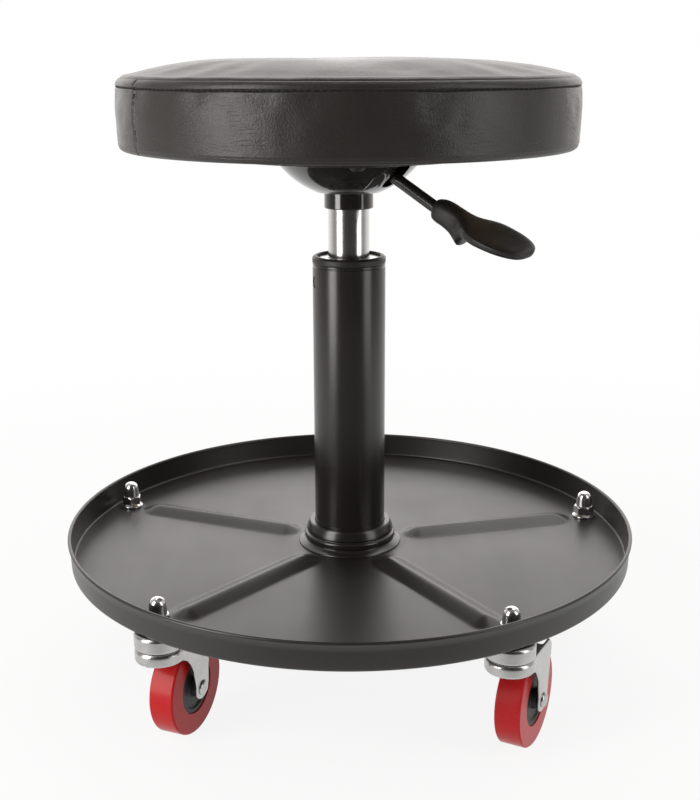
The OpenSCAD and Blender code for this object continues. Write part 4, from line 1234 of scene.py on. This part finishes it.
def core_shape():
    """The wheel's core: a web with a sunken ring and a barrel round the axle."""
    rim, barrel = TYRE_W / 2 - 0.8, CORE_W / 2
    half = [(3.1, barrel), (6.6, barrel), (7.2, rim - 1.2), (CORE_R - 3.4, rim - 1.2), (CORE_R - 2.8, rim),
            (CORE_R, rim)]
    radii = [0.2, 0.5, 0.8, 0.8, 0.4, 0.3]
    return revolve(rounded(mirrored(half), radii + radii[::-1], 4), 96)


def tyre_shape():
    """The urethane tyre: a flat tread with chamfered, rounded edges."""
    half = [(CORE_R + 0.05, TYRE_W / 2), (WHEEL_R - 0.9, TYRE_W / 2), (WHEEL_R, TREAD_W / 2)]
    return revolve(rounded(mirrored(half), (0.4, 0.7, 0.8, 0.8, 0.7, 0.4), 5), 144)


def build_casters():
    fork = fork_mesh()
    for n in CASTERS:
        bolt = BOLTS[n - 1]
        wheel = middle(f"caster_{n}_core")
        turn = Matrix.Rotation(atan2(wheel.y - bolt.y, wheel.x - bolt.x), 4, "Z")
        place = Matrix.Translation((bolt.x, bolt.y, 0)) @ turn
        axle = place @ Matrix.Translation((TRAIL, 0, AXLE_Z)) @ turned("X", 90)
        mesh = fork.copy()
        mesh.transform(Matrix.Translation(place.translation * MM) @ turn)
        thing = placed(f"caster_{n}_pressed_fork", mesh)
        finish_piece(thing, f"caster_{n}", "zinc_plate", f"caster_{n}_fork", even=False)
        for name, shape, where, body, slot, node in (
                ("swivel_cup", cup_shape(), place, "base", "zinc_plate", "cup"),
                ("axle_rivet", axle_shape(), axle, f"caster_{n}", "zinc_plate", "axle"),
                ("wheel_core", core_shape(), axle, f"wheel_{n}", "core_plastic", "core"),
                ("urethane_tyre", tyre_shape(), axle, f"wheel_{n}", "red_polyurethane", "tyre")):
            thing = new_object(f"caster_{n}_{name}", moved(shape, where))
            finish_piece(thing, body, slot, f"caster_{n}_{node}")


build_casters()

# The stage
FLOOR_R = 1.1
WHITE = (1, 1, 1, 1)
WARM = (1.0, 0.972, 0.945)


def seen_directly(tree):
    """1 where the camera, a gloss or a glass sees the surface, and 0 where it only lights things."""
    path = tree.add("LightPath").outputs
    total = path["Is Camera Ray"]
    for kind in ("Is Glossy Ray", "Is Transmission Ray"):
        total = tree.maths("MAXIMUM", total, path[kind])
    return total


def build_floor():
    """A pale floor that is white to the camera, keeps a soft shadow and ends in the white background."""
    steps = 96
    mesh = bpy.data.meshes.new("floor")
    mesh.from_pydata([polar(FLOOR_R, a) for a in even_angles(steps)], [], [list(range(steps))])
    floor = placed("floor", mesh)
    material = bpy.data.materials.new("pale_floor")
    tree = Tree(material)
    tree.nodes.clear()
    place = tree.place()
    away = tree.add("VectorMath", {"operation": "LENGTH"}, Vector=place).outputs["Value"]
    fade = tree.mapped(away, 0.3 * FLOOR_R, 0.9 * FLOOR_R, 0.88, 1.0)
    share = tree.maths("MULTIPLY", seen_directly(tree), fade)
    front = tree.mapped(tree.split(place)["Y"], -0.45, -0.24, 0.2, 1.0)
    glossy = tree.add("LightPath").outputs["Is Glossy Ray"]
    dimmed = tree.add("Mix", Factor=glossy, A=1.0, B=front).outputs["Result"]
    diffuse = tree.add("BsdfDiffuse", Color=(0.86, 0.86, 0.86, 1)).outputs[0]
    glow = tree.add("Emission", Color=WHITE, Strength=dimmed).outputs[0]
    tree.add("OutputMaterial", Surface=tree.in_order(tree.add("MixShader"), share, diffuse, glow))
    mesh.materials.append(material)


def build_world():
    """White to the camera. Gloss sees a pale studio that is dark on the side where the photographer stood."""
    world = bpy.data.worlds.new("studio")
    bpy.context.scene.world = world
    tree = Tree(world)
    tree.nodes.clear()
    depth = tree.mapped(tree.split(tree.add("TexCoord").outputs["Generated"])["Y"], -1.0, 1.0)
    ramp = tree.add("ValToRGB", Fac=depth)
    stops = ((0.0, 0.03), (0.14, 0.035), (0.28, 0.22), (0.5, 0.30), (0.75, 0.8), (0.9, 1.0))
    elements = ramp.color_ramp.elements
    while len(elements) < len(stops):
        elements.new(1.0)
    for element, (position, grey) in zip(elements, stops):
        element.position = position
        element.color = (*(grey * part for part in WARM), 1)
    studio = tree.add("Background", Color=ramp.outputs["Color"]).outputs[0]
    clear = tree.add("Background", Color=WHITE).outputs[0]
    seen = tree.add("Background", Color=(*WARM, 1), Strength=0.34).outputs[0]
    path = tree.add("LightPath").outputs
    for kind, background in (("Glossy", studio), ("Transmission", clear), ("Camera", clear)):
        seen = tree.in_order(tree.add("MixShader"), path[f"Is {kind} Ray"], seen, background)
    tree.add("OutputWorld", Surface=seen)


def soft_box(name, azimuth, distance, height, tilt, size, power):
    """A soft box that faces the post. Azimuth 0 is on the camera's side and 90 to the right."""
    around, down = radians(azimuth - 90), radians(tilt)
    data = bpy.data.lights.new(name, "AREA")
    data.shape = "RECTANGLE"
    data.size, data.size_y = size
    data.energy = power
    data.color = WARM
    lamp = placed(name, data)
    lamp.location = polar(distance, around, height)
    outwards = polar(cos(down), around, sin(down))
    lamp.rotation_euler = (-outwards).to_track_quat("-Z", "Y").to_euler()
    lamp.visible_camera = False


def build_camera():
    """The photograph's camera, fitted to the rim, the tube and the seat."""
    focal_px, image_h, sensor = 1213.1, 800, 36
    pitch, roll = 0.27554, -0.003
    data = bpy.data.cameras.new("camera")
    data.sensor_width = sensor
    data.lens = focal_px * sensor / image_h
    data.clip_start, data.clip_end = 0.01, 100
    camera = placed("camera", data)
    camera.location = (0.0004, -0.82448, 0.42397)
    turn = Matrix.Rotation(pi / 2 - pitch, 3, "X") @ Matrix.Rotation(roll, 3, "Z")
    camera.rotation_euler = turn.to_euler()
    bpy.context.scene.camera = camera


build_floor()
build_world()
soft_box("left_box", -53, 1.0, 0.62, 0, (0.42, 1.24), 10.5)
soft_box("right_box", 59, 1.0, 0.62, 0, (0.40, 1.24), 4.0)
soft_box("top_box", 165, 0.9, 1.9, 62, (1.8, 1.2), 12)
soft_box("left_back_box", -158, 2.2, 0.78, 10, (1.9, 1.2), 10)
soft_box("right_back_box", 158, 2.2, 0.78, 10, (1.9, 1.2), 9.2)
build_camera()
bpy.context.scene.view_settings.view_transform = "Standard"
